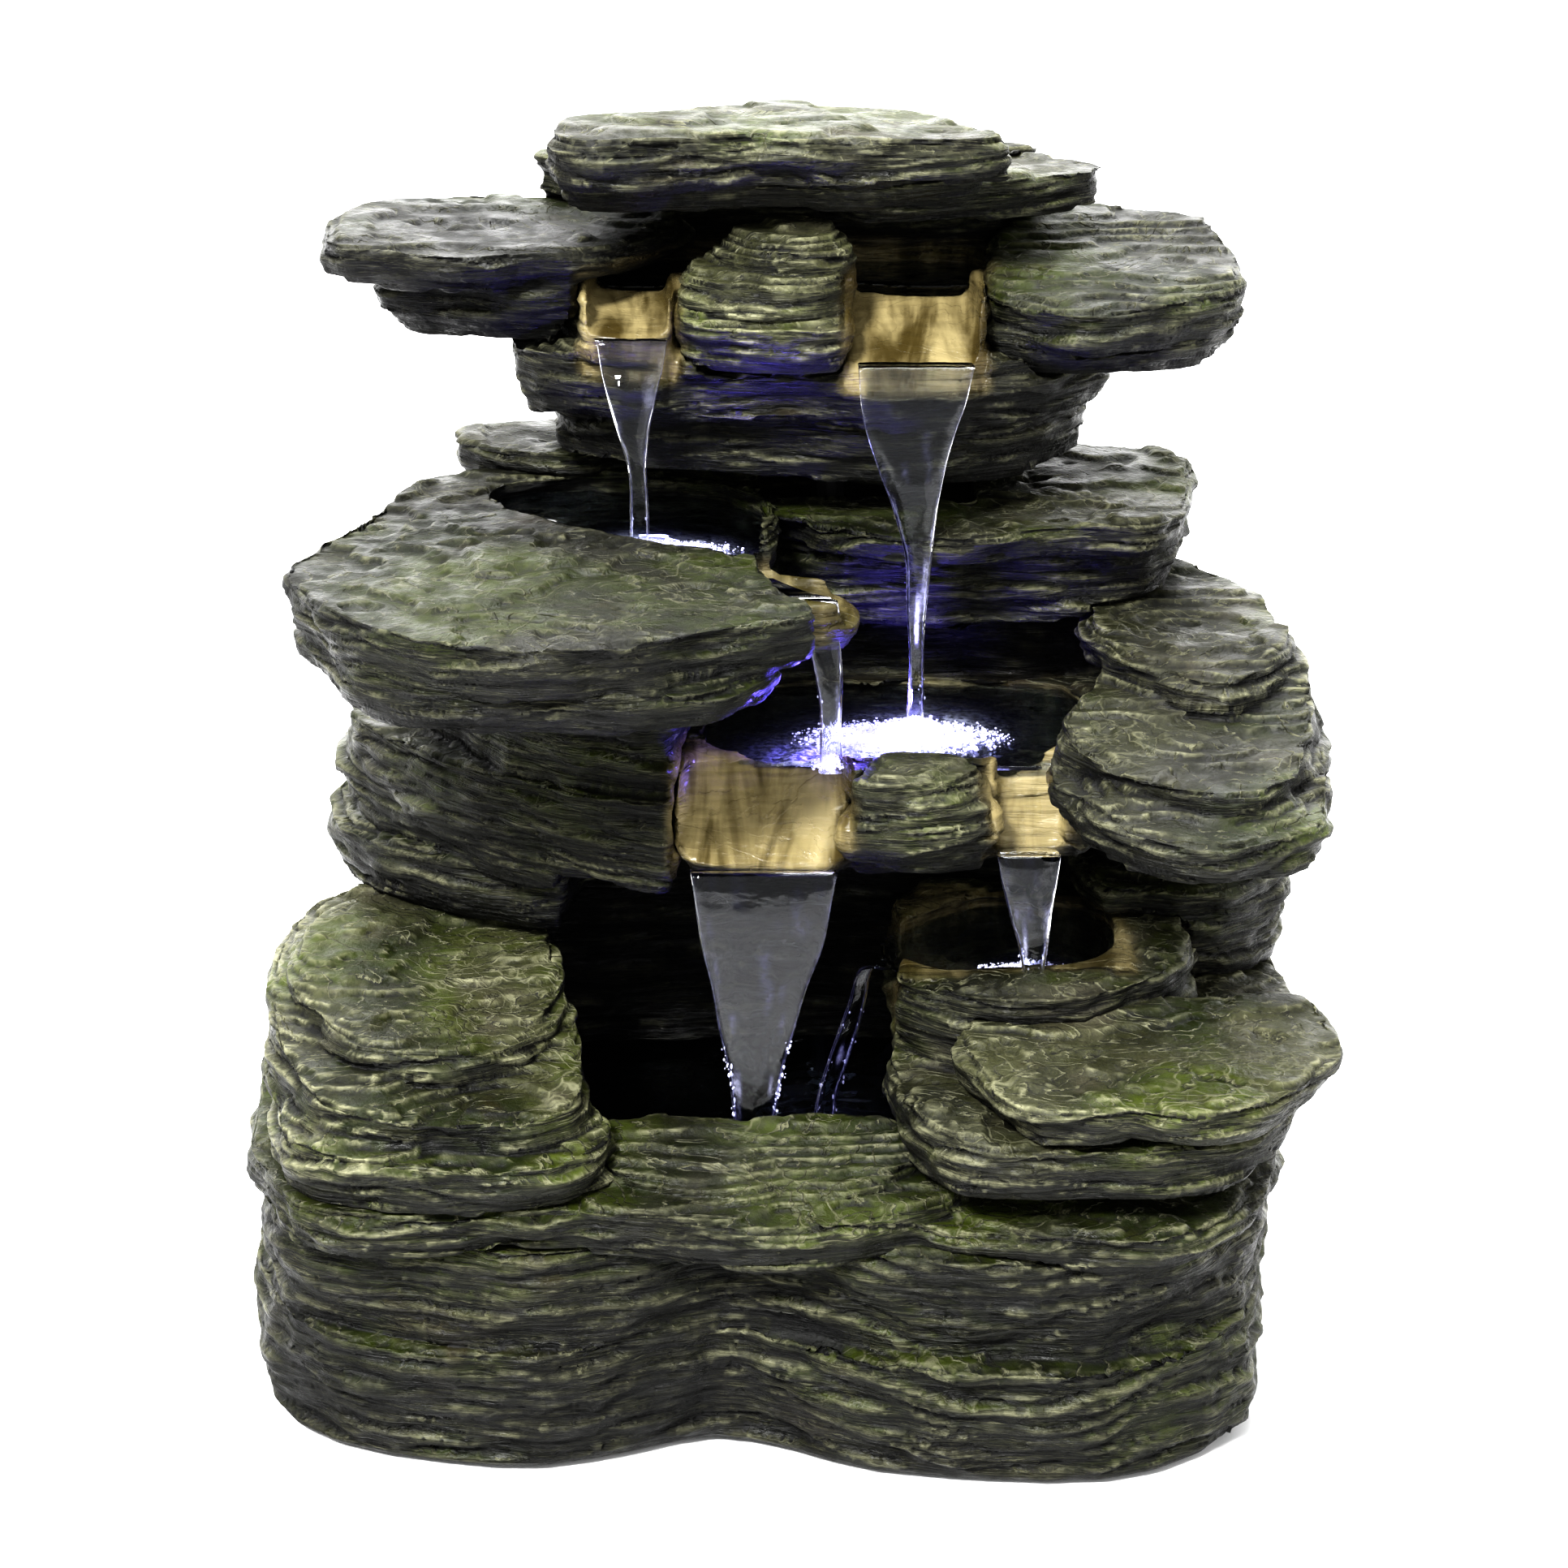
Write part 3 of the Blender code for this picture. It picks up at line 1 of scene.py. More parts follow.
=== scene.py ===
"""Looks for the tabletop water fountain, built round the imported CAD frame.

Each rock section's CAD solid is remeshed and worked into layered slate, the pools, films, falls and foam are
added, and every fitting gets its own material. Lengths are in metres; outlines are in millimetres.
"""

import json
import math

import bmesh
import bpy
import numpy as np
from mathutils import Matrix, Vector
from mathutils.bvhtree import BVHTree


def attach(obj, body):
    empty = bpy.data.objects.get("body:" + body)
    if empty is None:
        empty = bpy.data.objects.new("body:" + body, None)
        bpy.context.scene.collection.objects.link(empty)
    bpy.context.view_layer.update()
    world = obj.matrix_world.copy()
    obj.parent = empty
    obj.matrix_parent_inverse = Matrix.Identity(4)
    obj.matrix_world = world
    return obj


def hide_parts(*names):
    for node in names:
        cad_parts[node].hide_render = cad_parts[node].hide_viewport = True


MM = 0.001
ROOT = "fountain"

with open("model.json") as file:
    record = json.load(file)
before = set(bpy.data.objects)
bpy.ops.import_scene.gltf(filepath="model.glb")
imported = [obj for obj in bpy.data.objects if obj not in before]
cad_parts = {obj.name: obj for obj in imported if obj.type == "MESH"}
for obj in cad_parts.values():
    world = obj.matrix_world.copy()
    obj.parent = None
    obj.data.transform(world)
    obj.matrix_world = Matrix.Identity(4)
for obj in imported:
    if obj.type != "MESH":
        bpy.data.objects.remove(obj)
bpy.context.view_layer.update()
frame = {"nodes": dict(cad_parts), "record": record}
nodes = frame["nodes"]
scene = bpy.context.scene


# ---------------------------------------------------------------- camera and stage

def make_camera():
    data = bpy.data.cameras.new("camera")
    data.sensor_width = 36.0
    data.lens = 88.47
    data.shift_y = 0.0059
    data.clip_end = 30.0
    camera = bpy.data.objects.new("camera", data)
    camera.location = (0.0, -1.50, 0.78)
    camera.rotation_euler = (math.radians(70.0), 0.0, 0.0)
    scene.collection.objects.link(camera)
    scene.camera = camera


def area_light(name, place, target, size, power):
    data = bpy.data.lights.new(name, "AREA")
    data.shape = "DISK"
    data.size = size
    data.energy = power
    aimed(name, data, place, target)


def aimed(name, data, place, target):
    lamp = bpy.data.objects.new(name, data)
    lamp.location = place
    lamp.rotation_euler = (Vector(target) - Vector(place)).to_track_quat("-Z", "Y").to_euler()
    scene.collection.objects.link(lamp)


def sun(name, place, strength, spread):
    """Even light from far away, with shadows as soft as the spread in degrees."""
    data = bpy.data.lights.new(name, "SUN")
    data.energy = strength
    data.angle = math.radians(spread)
    aimed(name, data, place, (0, 0, 0))


def glow_lamp(name, place, target, power, cone, colour=(0.17, 0.12, 1.0)):
    """A pool light's beam, up through the water."""
    data = bpy.data.lights.new(name, "SPOT")
    data.energy = power
    data.color = colour
    data.shadow_soft_size = 0.004
    data.spot_size = math.radians(cone)
    data.spot_blend = 0.9
    aimed(name, data, place, target)


def make_stage():
    """A pale floor that curves up into a pale backdrop."""
    rows = [(-3.0, 0.0), (1.6, 0.0)]
    for k in range(1, 13):
        turn = math.radians(90 * k / 12)
        rows.append((1.6 + 0.9 * math.sin(turn), 0.9 - 0.9 * math.cos(turn)))
    rows.append((2.5, 4.0))
    verts = [(x, y, z) for y, z in rows for x in (-4.0, 4.0)]
    faces = [(2 * i, 2 * i + 1, 2 * i + 3, 2 * i + 2) for i in range(len(rows) - 1)]
    mesh = bpy.data.meshes.new("studio_floor")
    mesh.from_pydata(verts, [], faces)
    for face in mesh.polygons:
        face.use_smooth = True
    floor = bpy.data.objects.new("studio_floor", mesh)
    scene.collection.objects.link(floor)
    paint = Shader("studio_floor")
    grain = paint.noise(paint.place(), 3.0, 2.0)
    paint.set("Base Color", paint.mix(grain, (0.86, 0.86, 0.86, 1), (0.90, 0.90, 0.90, 1)))
    paint.set("Roughness", 0.9)
    mesh.materials.append(paint.material)
    world = bpy.data.worlds.new("world")
    world.use_nodes = True
    world.node_tree.nodes["Background"].inputs["Color"].default_value = (1.0, 1.0, 1.0, 1.0)
    world.node_tree.nodes["Background"].inputs["Strength"].default_value = 0.80
    scene.world = world
    sun("key", (-0.7, -1.35, 1.5), 6.2, 12)
    sun("fill", (1.2, -1.5, 0.8), 0.9, 50)
    area_light("floor_wash", (0.0, 1.3, 3.0), (0, 1.8, 0.0), 2.4, 150)
    scene.view_settings.view_transform = "Standard"
    scene.view_settings.look = "High Contrast"


# ---------------------------------------------------------------- shader building

class Shader:
    """A Principled material put together from node calls."""

    def __init__(self, name):
        self.material = bpy.data.materials.new(name)
        self.material.use_nodes = True
        self.tree = self.material.node_tree
        self.main = self.tree.nodes["Principled BSDF"]

    def node(self, kind, **values):
        made = self.tree.nodes.new(kind)
        for key, value in values.items():
            setattr(made, key, value)
        return made

    def link(self, source, socket):
        if isinstance(source, bpy.types.NodeSocket):
            self.tree.links.new(source, socket)
        else:
            socket.default_value = source

    def set(self, name, source):
        self.link(source, self.main.inputs[name])

    def place(self, scale=(1.0, 1.0, 1.0)):
        point = self.node("ShaderNodeTexCoord").outputs["Object"]
        if scale == (1.0, 1.0, 1.0):
            return point
        mapping = self.node("ShaderNodeMapping")
        mapping.inputs["Scale"].default_value = scale
        self.link(point, mapping.inputs["Vector"])
        return mapping.outputs["Vector"]

    def noise(self, point, scale, detail=3.0, distortion=0.0, roughness=0.55):
        made = self.node("ShaderNodeTexNoise")
        self.link(point, made.inputs["Vector"])
        made.inputs["Scale"].default_value = scale
        made.inputs["Detail"].default_value = detail
        made.inputs["Roughness"].default_value = roughness
        made.inputs["Distortion"].default_value = distortion
        return made.outputs["Fac"]

    def cells(self, point, scale, feature="DISTANCE_TO_EDGE"):
        made = self.node("ShaderNodeTexVoronoi", feature=feature)
        self.link(point, made.inputs["Vector"])
        made.inputs["Scale"].default_value = scale
        return made.outputs["Distance"]

    def warped(self, point, scale, amount):
        """The point moved about by a noise, so that lines drawn on it wander."""
        shift = self.node("ShaderNodeTexNoise")
        self.link(point, shift.inputs["Vector"])
        shift.inputs["Scale"].default_value = scale
        shift.inputs["Detail"].default_value = 3.0
        centred = self.node("ShaderNodeVectorMath", operation="SUBTRACT")
        self.link(shift.outputs["Color"], centred.inputs[0])
        centred.inputs[1].default_value = (0.5, 0.5, 0.5)
        moved = self.node("ShaderNodeVectorMath", operation="MULTIPLY_ADD")
        self.link(centred.outputs[0], moved.inputs[0])
        moved.inputs[1].default_value = (amount, amount, amount)
        self.link(point, moved.inputs[2])
        return moved.outputs[0]

    def step(self, value, low, high, to_low=0.0, to_high=1.0):
        made = self.node("ShaderNodeMapRange", interpolation_type="SMOOTHSTEP", clamp=True)
        self.link(value, made.inputs["Value"])
        made.inputs["From Min"].default_value = low
        made.inputs["From Max"].default_value = high
        made.inputs["To Min"].default_value = to_low
        made.inputs["To Max"].default_value = to_high
        return made.outputs["Result"]

    def math(self, operation, first, second=0.0):
        made = self.node("ShaderNodeMath", operation=operation)
        self.link(first, made.inputs[0])
        self.link(second, made.inputs[1])
        return made.outputs[0]

    def mix(self, share, first, second, blend="MIX"):
        made = self.node("ShaderNodeMix", data_type="RGBA", blend_type=blend)
        self.link(share, made.inputs["Factor"])
        colours = [socket for socket in made.inputs if socket.type == "RGBA"]
        self.link(first, colours[0])
        self.link(second, colours[1])
        return next(socket for socket in made.outputs if socket.type == "RGBA")

    def attribute(self, name):
        made = self.node("ShaderNodeAttribute", attribute_name=name)
        split = self.node("ShaderNodeSeparateColor")
        self.link(made.outputs["Color"], split.inputs[0])
        return split.outputs[0], split.outputs[1], split.outputs[2]

    def upness(self):
        split = self.node("ShaderNodeSeparateXYZ")
        self.link(self.node("ShaderNodeNewGeometry").outputs["Normal"], split.inputs[0])
        return split.outputs[2]

    def bump(self, height, distance, strength=1.0, base=None):
        made = self.node("ShaderNodeBump")
        made.inputs["Distance"].default_value = distance
        made.inputs["Strength"].default_value = strength
        self.link(height, made.inputs["Height"])
        if base is not None:
            self.link(base, made.inputs["Normal"])
        return made.outputs["Normal"]


def grey(level, tint=(1.0, 1.0, 1.0)):
    return (level * tint[0], level * tint[1], level * tint[2], 1.0)


# How light the rock is as a whole
ROCK_LIGHT = 0.14
OLIVE = (0.97, 1.0, 0.46)
# How far a piece of no brightness of its own is darkened
DARKEN = 0.95


def slate_material(name, moss=0.5, light=1.0, tan=0.3):
    """Dark layered slate: strata streaks, moss, pale edges of dry-brush paint and painted highlight, veins on the
    flats, wet ochre where water runs, painted shade in hollows, cracks, below flake lips and on faces turned down.
    """
    s = Shader(name)
    point = s.place()
    brightness, light = light, light * ROCK_LIGHT
    edge, painted_hollow_shade, wet = s.attribute("look")
    up = s.upness()
    flat = s.step(up, 0.35, 0.80)
    side = s.step(up, 0.80, 0.45)
    broad = s.noise(point, 16.0, 4.0)
    fine = s.noise(point, 190.0, 5.0)
    speck = s.noise(point, 650.0, 3.0)

    flake = s.noise(s.place((1.0, 1.7, 1.0)), 17.0, 7.0, 0.6, 0.50)
    levels = s.math("MULTIPLY", flake, 13.0)
    part = s.math("FRACT", levels)
    # A pale painted highlight along each flake's step, partly dry-brush paint, and a painted shadow just below it.
    lip = s.math("MULTIPLY", s.step(part, 0.80, 0.97), s.step(fine, 0.38, 0.55, 0.15, 1.0))
    painted_flake_shadow = s.step(part, 0.14, 0.0)
    terraces = s.math("ADD", s.math("FLOOR", levels), s.step(part, 0.84, 1.0))

    grainy = s.noise(s.place((16.0, 16.0, 300.0)), 1.0, 5.0, 0.9)
    crack = s.step(s.math("ABSOLUTE", s.math("SUBTRACT", grainy, 0.47)), 0.028, 0.004)
    sheets = s.noise(s.place((24.0, 24.0, 520.0)), 1.0, 4.0, 1.2)
    rim = s.step(s.math("ABSOLUTE", s.math("SUBTRACT", sheets, 0.54)), 0.034, 0.004)

    tone = s.mix(s.step(broad, 0.34, 0.62), grey(0.075 * light, OLIVE), grey(0.24 * light, OLIVE))
    tone = s.mix(s.step(s.noise(point, 33.0, 3.0), 0.50, 0.72), tone, grey(0.26 * light, (1.08, 1.0, 0.64)))
    tone = s.mix(s.math("MULTIPLY", s.step(speck, 0.55, 0.72), 0.35), tone, grey(0.46 * light, OLIVE))
    tone = s.mix(s.math("MULTIPLY", s.step(speck, 0.46, 0.30), 0.50), tone, grey(0.010))
    mossy = s.step(s.noise(point, 11.0, 5.0, 0.4), 0.56 - 0.22 * moss, 0.68 - 0.16 * moss)
    mossy = s.math("MULTIPLY", mossy, s.step(up, -0.5, 0.7, 0.40, 1.0))
    mossy = s.math("MULTIPLY", mossy, s.step(fine, 0.30, 0.60, 0.40, 1.0))
    green = s.mix(s.step(broad, 0.40, 0.62), (0.014, 0.020, 0.002, 1), (0.056, 0.074, 0.007, 1))
    tone = s.mix(mossy, tone, green)
    rusty = s.math("MULTIPLY", s.step(s.noise(point, 24.0, 3.0), 0.60, 0.72), tan)
    tone = s.mix(rusty, tone, (0.050, 0.032, 0.014, 1))
    # Painted shade: darker on faces turned sideways and down.
    tone = s.mix(s.step(up, 0.82, -0.10, 0.0, 0.80), tone, grey(0.005))

    crossing = s.warped(point, 26.0, 0.05)
    veins = s.step(s.cells(crossing, 24.0), 0.026, 0.004)
    hair = s.step(s.cells(s.warped(point, 60.0, 0.03), 62.0), 0.040, 0.006)
    lines = s.math("MAXIMUM", veins, s.math("MULTIPLY", hair, 0.6))
    lines = s.math("MULTIPLY", s.math("MULTIPLY", lines, flat), s.step(broad, 0.44, 0.62))
    pale = grey(0.20, (1.0, 0.99, 0.62))
    tone = s.mix(s.math("MULTIPLY", lines, 0.60), tone, pale)
    # Painted highlight on the flake lips, then painted shadow below them.
    tone = s.mix(s.math("MULTIPLY", s.math("MULTIPLY", lip, flat), 0.80), tone, pale)
    tone = s.mix(s.math("MULTIPLY", s.math("MULTIPLY", painted_flake_shadow, flat), 0.80), tone, grey(0.010))
    # Pale strata ridges on the sides, weaker on faces turned down: dry-brush paint and painted highlight.
    rims = s.math("MULTIPLY", s.math("MULTIPLY", rim, side), s.step(broad, 0.36, 0.60, 0.15, 0.85))
    rims = s.math("MULTIPLY", rims, s.step(up, -0.5, 0.1, 0.2, 1.0))
    tone = s.mix(rims, tone, grey(0.16, (1.0, 0.99, 0.62)))
    # Painted shade: dark lines in the strata cracks on the sides.
    tone = s.mix(s.math("MULTIPLY", s.math("MULTIPLY", crack, side), 0.92), tone, grey(0.007))
    # Pale edges, none on edges turned down: dry-brush paint and painted highlight.
    edge_drybrush_and_highlight = s.math("MULTIPLY", edge, s.step(fine, 0.36, 0.58, 0.30, 1.0))
    tone = s.mix(edge_drybrush_and_highlight, tone, grey(0.27, (1.0, 0.99, 0.62)))
    ochre = s.mix(s.step(s.noise(s.place((60.0, 14.0, 14.0)), 1.0, 4.0, 0.5), 0.36, 0.66),
                  (0.050, 0.037, 0.012, 1), (0.27, 0.225, 0.115, 1))
    tone = s.mix(DARKEN - 0.5 * brightness, tone, grey(0.0))
    tone = s.mix(wet, tone, ochre)
    # Painted shade in creases and hollows.
    tone = s.mix(painted_hollow_shade, tone, grey(0.006))
    s.set("Base Color", tone)
    s.set("Specular IOR Level", 0.28)
    rough = s.step(s.noise(point, 70.0, 3.0), 0.35, 0.65, 0.40, 0.70)
    s.set("Roughness", s.math("SUBTRACT", rough, s.math("MULTIPLY", wet, 0.34)))

    height = s.math("MULTIPLY", s.math("MULTIPLY", terraces, 0.9), flat)
    height = s.math("ADD", height, s.math("MULTIPLY", s.math("MULTIPLY", grainy, side), 5.0))
    height = s.math("SUBTRACT", height, s.math("MULTIPLY", s.math("MULTIPLY", crack, side), 0.9))
    height = s.math("ADD", height, s.math("MULTIPLY", s.math("MULTIPLY", rim, side), 0.4))
    height = s.math("ADD", height, s.math("MULTIPLY", fine, 0.9))
    height = s.math("ADD", height, s.math("MULTIPLY", speck, 0.35))
    height = s.math("ADD", height, s.math("MULTIPLY", lines, 0.3))
    height = s.math("MULTIPLY", height, s.step(wet, 0.2, 0.8, 1.0, 0.2))
    s.set("Normal", s.bump(height, 0.0011, 0.9))
    return s.material


def plastic_material(name, colour, roughness=0.42):
    s = Shader(name)
    point = s.place()
    s.set("Base Color", s.mix(s.noise(point, 90.0, 3.0), grey(colour * 0.8), grey(colour * 1.25)))
    s.set("Roughness", s.step(s.noise(point, 240.0, 3.0), 0.3, 0.7, roughness - 0.07, roughness + 0.12))
    s.set("Normal", s.bump(s.noise(point, 2600.0, 2.0), 0.00012, 0.5))
    return s.material


def rubber_material(name):
    s = Shader(name)
    point = s.place()
    s.set("Base Color", s.mix(s.noise(point, 120.0, 4.0), grey(0.012), grey(0.034)))
    s.set("Roughness", s.step(s.noise(point, 300.0, 3.0), 0.3, 0.7, 0.68, 0.9))
    s.set("Normal", s.bump(s.noise(point, 1500.0, 3.0), 0.00015, 0.6))
    return s.material


def steel_material(name):
    s = Shader(name)
    s.set("Base Color", s.mix(s.noise(s.place((40.0, 40.0, 40.0)), 2.0, 3.0), grey(0.50), grey(0.62)))
    s.set("Metallic", 1.0)
    brushed = s.noise(s.place((300.0, 300.0, 4000.0)), 1.0, 3.0)
    s.set("Roughness", s.step(brushed, 0.3, 0.7, 0.24, 0.38))
    s.set("Normal", s.bump(brushed, 0.00005, 0.4))
    return s.material


def ceramic_material(name):
    s = Shader(name)
    s.set("Base Color", s.mix(s.noise(s.place(), 200.0, 3.0), grey(0.74), grey(0.82)))
    s.set("Roughness", s.step(s.noise(s.place(), 500.0, 2.0), 0.3, 0.7, 0.14, 0.22))
    return s.material


def lens_material(name):
    """A pale lens with a violet-blue light behind its moulded ribs."""
    s = Shader(name)
    ribs = s.cells(s.place(), 420.0)
    s.set("Base Color", s.mix(s.step(ribs, 0.0, 0.12), (0.55, 0.55, 0.9, 1), (0.40, 0.42, 1.0, 1)))
    s.set("Roughness", 0.22)
    s.set("Emission Color", s.mix(s.step(ribs, 0.0, 0.2), (0.75, 0.72, 1.0, 1), (0.25, 0.20, 1.0, 1)))
    s.set("Emission Strength", 7.0)
    s.set("Normal", s.bump(ribs, 0.0003, 0.6))
    return s.material


def water_material(name, tint=(0.90, 0.93, 1.0, 1.0), ripple=0.0006, scale=(60.0, 60.0, 60.0)):
    """Clear water. The look attribute's first value turns it white where it is full of air, and its second gives a
    painted violet glow.
    """
    s = Shader(name)
    foam, painted_glow, _ = s.attribute("look")
    speckle = s.noise(s.place(), 420.0, 4.0)
    white = s.math("MULTIPLY", foam, s.step(speckle, 0.38, 0.60, 0.35, 1.0))
    s.set("Base Color", s.mix(white, tint, (0.86, 0.88, 1.0, 1.0)))
    s.set("Roughness", s.step(white, 0.0, 1.0, 0.03, 0.35))
    s.set("IOR", 1.333)
    s.set("Specular IOR Level", 0.22)
    s.set("Transmission Weight", s.step(white, 0.0, 1.0, 1.0, 0.25))
    # Painted glow: violet light from the water where it is full of air, standing in for the pool lights.
    s.set("Emission Color", (0.42, 0.40, 1.0, 1.0))
    s.set("Emission Strength", s.math("MULTIPLY", painted_glow, s.step(speckle, 0.35, 0.65, 0.2, 1.0)))
    waves = s.noise(s.place(scale), 1.0, 3.0, 0.3)
    s.set("Normal", s.bump(waves, ripple, 0.8))
    return s.material


def foam_material(name, glow):
    s = Shader(name)
    point = s.place()
    s.set("Base Color", s.mix(s.noise(point, 260.0, 3.0), (0.52, 0.54, 0.86, 1), (0.92, 0.93, 1.0, 1)))
    s.set("Roughness", s.step(s.noise(point, 500.0, 3.0), 0.3, 0.7, 0.10, 0.38))
    s.set("Transmission Weight", 0.25)
    s.set("IOR", 1.333)
    # Painted glow: violet light from the foam itself, standing in for the pool lights shining through it.
    s.set("Emission Color", (0.50, 0.47, 1.0, 1.0))
    s.set("Emission Strength", s.step(s.noise(point, 60.0, 2.0), 0.3, 0.7, glow * 0.4, glow))
    s.set("Normal", s.bump(s.cells(point, 700.0, "F1"), 0.0006, 0.8))
    return s.material


# ---------------------------------------------------------------- noise on arrays of points

def lattice(ix, iy, iz, seed):
    """A fixed pseudo-random number from 0 to 1 for each whole-numbered point."""
    h = (ix * 374761393 + iy * 668265263 + iz * 1440662683 + seed * 982451653) & 0xFFFFFFFF
    h = ((h ^ (h >> 13)) * 1274126177) & 0xFFFFFFFF
    h = h ^ (h >> 16)
    return (h & 0xFFFFFF) / float(0xFFFFFF)


def noise(points, size, seed):
    """Smooth noise from -1 to 1, with features about size across, on an array of points."""
    q = points / np.asarray(size, dtype=float)
    whole = np.floor(q).astype(np.int64)
    f = q - whole
    f = f * f * (3 - 2 * f)
    total = np.zeros(len(points))
    for dx in (0, 1):
        for dy in (0, 1):
            for dz in (0, 1):
                share = ((f[:, 0] if dx else 1 - f[:, 0]) * (f[:, 1] if dy else 1 - f[:, 1])
                         * (f[:, 2] if dz else 1 - f[:, 2]))
                total += share * lattice(whole[:, 0] + dx, whole[:, 1] + dy, whole[:, 2] + dz, seed)
    return total * 2 - 1


def rough_noise(points, size, seed, octaves=3):
    total = np.zeros(len(points))
    for k in range(octaves):
        total += noise(points, np.asarray(size, dtype=float) / 2 ** k, seed + 17 * k) / 2 ** k
    return total / 1.6


def smooth(value, low, high):
    t = np.clip((value - low) / (high - low), 0, 1)
    return t * t * (3 - 2 * t)


def strata(points, height, thick, wander, seed, sharp=0.72):
    """Layers that each stand out by their own amount: the offset from -1 to 1, and 1 at the cracks between."""
    level = height / thick
    layer = np.floor(level)
    f = level - layer

    def offset(index):
        spot = np.column_stack([points[:, 0] / wander, points[:, 1] / wander, index * 7.31])
        return rough_noise(spot, 1.0, seed, 2)

    share = smooth(f, sharp, 1.0)
    value = offset(layer) * (1 - share) + offset(layer + 1) * share
    crack = np.exp(-((f - 0.93) / 0.10) ** 2) * smooth(noise(
        np.column_stack([points[:, 0] / wander, points[:, 1] / wander, layer * 3.7]), 0.6, seed + 5), -0.3, 0.6)
    return value, crack


# ---------------------------------------------------------------- rock sections

# Where water runs over rock, as boxes in millimetres: low corner, high corner, and how ochre it is
WET = [
    ((-80, 22, 404), (-45, 100, 440), 1.0),
    ((27, 16, 400), (80, 100, 440), 1.0),
    ((-36, -48, 306), (34, 8, 328), 0.6),
    ((-42, -80, 222), (24, -14, 262), 1.0),
    ((84, -64, 220), (114, -16, 262), 0.9),
    ((16, -50, 148), (66, -2, 181), 0.8),
    ((40, -56, 156), (140, 28, 181), 0.5),
    ((-80, 80, 398), (86, 128, 436), 0.5),
    ((-36, -34, 236), (128, 68, 258), 0.25),
]
# Places that stay as the CAD has them, for what fits there: low corner and high corner
KEPT = [
    ((-22, 138, 127), (89, 170, 235)),
    ((46, 138, 97), (77, 170, 129)),
    ((-76, 138, 9), (-46, 180, 39)),
    ((0, 60, 8), (66, 125, 14)),
]


def box_share(points, low, high, fade):
    """1 inside a box, falling to 0 at the fade distance outside it."""
    low, high = np.array(low) * MM, np.array(high) * MM
    away = np.maximum(np.maximum(low - points, points - high), 0)
    return smooth(-np.linalg.norm(away, axis=1), -fade * MM, 0)


def mesh_arrays(mesh):
    count = len(mesh.vertices)
    points = np.empty(count * 3)
    mesh.vertices.foreach_get("co", points)
    edges = np.empty(len(mesh.edges) * 2, dtype=np.int64)
    mesh.edges.foreach_get("vertices", edges)
    return points.reshape(-1, 3), edges.reshape(-1, 2)


def neighbour_mean(values, edges):
    count = np.bincount(edges.ravel(), minlength=len(values)).astype(float)
    total = np.zeros_like(values)
    for k in range(values.shape[1]):
        total[:, k] = (np.bincount(edges[:, 0], values[edges[:, 1], k], len(values))
                       + np.bincount(edges[:, 1], values[edges[:, 0], k], len(values)))
    return total / np.maximum(count, 1)[:, None]


def vertex_normals(mesh, points):
    mesh.vertices.foreach_set("co", points.ravel())
    mesh.update()
    normals = np.empty(len(points) * 3)
    mesh.vertices.foreach_get("normal", normals)
    return normals.reshape(-1, 3)


def remeshed(name, node, voxel):
    """A copy of a CAD node's shape in even quads."""
    source = nodes[node].data.copy()
    holder = bpy.data.objects.new(name, source)
    scene.collection.objects.link(holder)
    remesh = holder.modifiers.new("remesh", "REMESH")
    remesh.mode = "VOXEL"
    remesh.voxel_size = voxel
    depsgraph = bpy.context.evaluated_depsgraph_get()
    mesh = bpy.data.meshes.new_from_object(holder.evaluated_get(depsgraph))
    holder.modifiers.clear()
    holder.data = mesh
    mesh.name = name
    mesh.materials.clear()
    bpy.data.meshes.remove(source)
    return holder


def write_look(mesh, first, second, third):
    layer = mesh.color_attributes.new("look", "FLOAT_COLOR", "POINT")
    values = np.ones((len(mesh.vertices), 4))
    values[:, 0], values[:, 1], values[:, 2] = first, second, third
    layer.data.foreach_set("color", values.ravel())


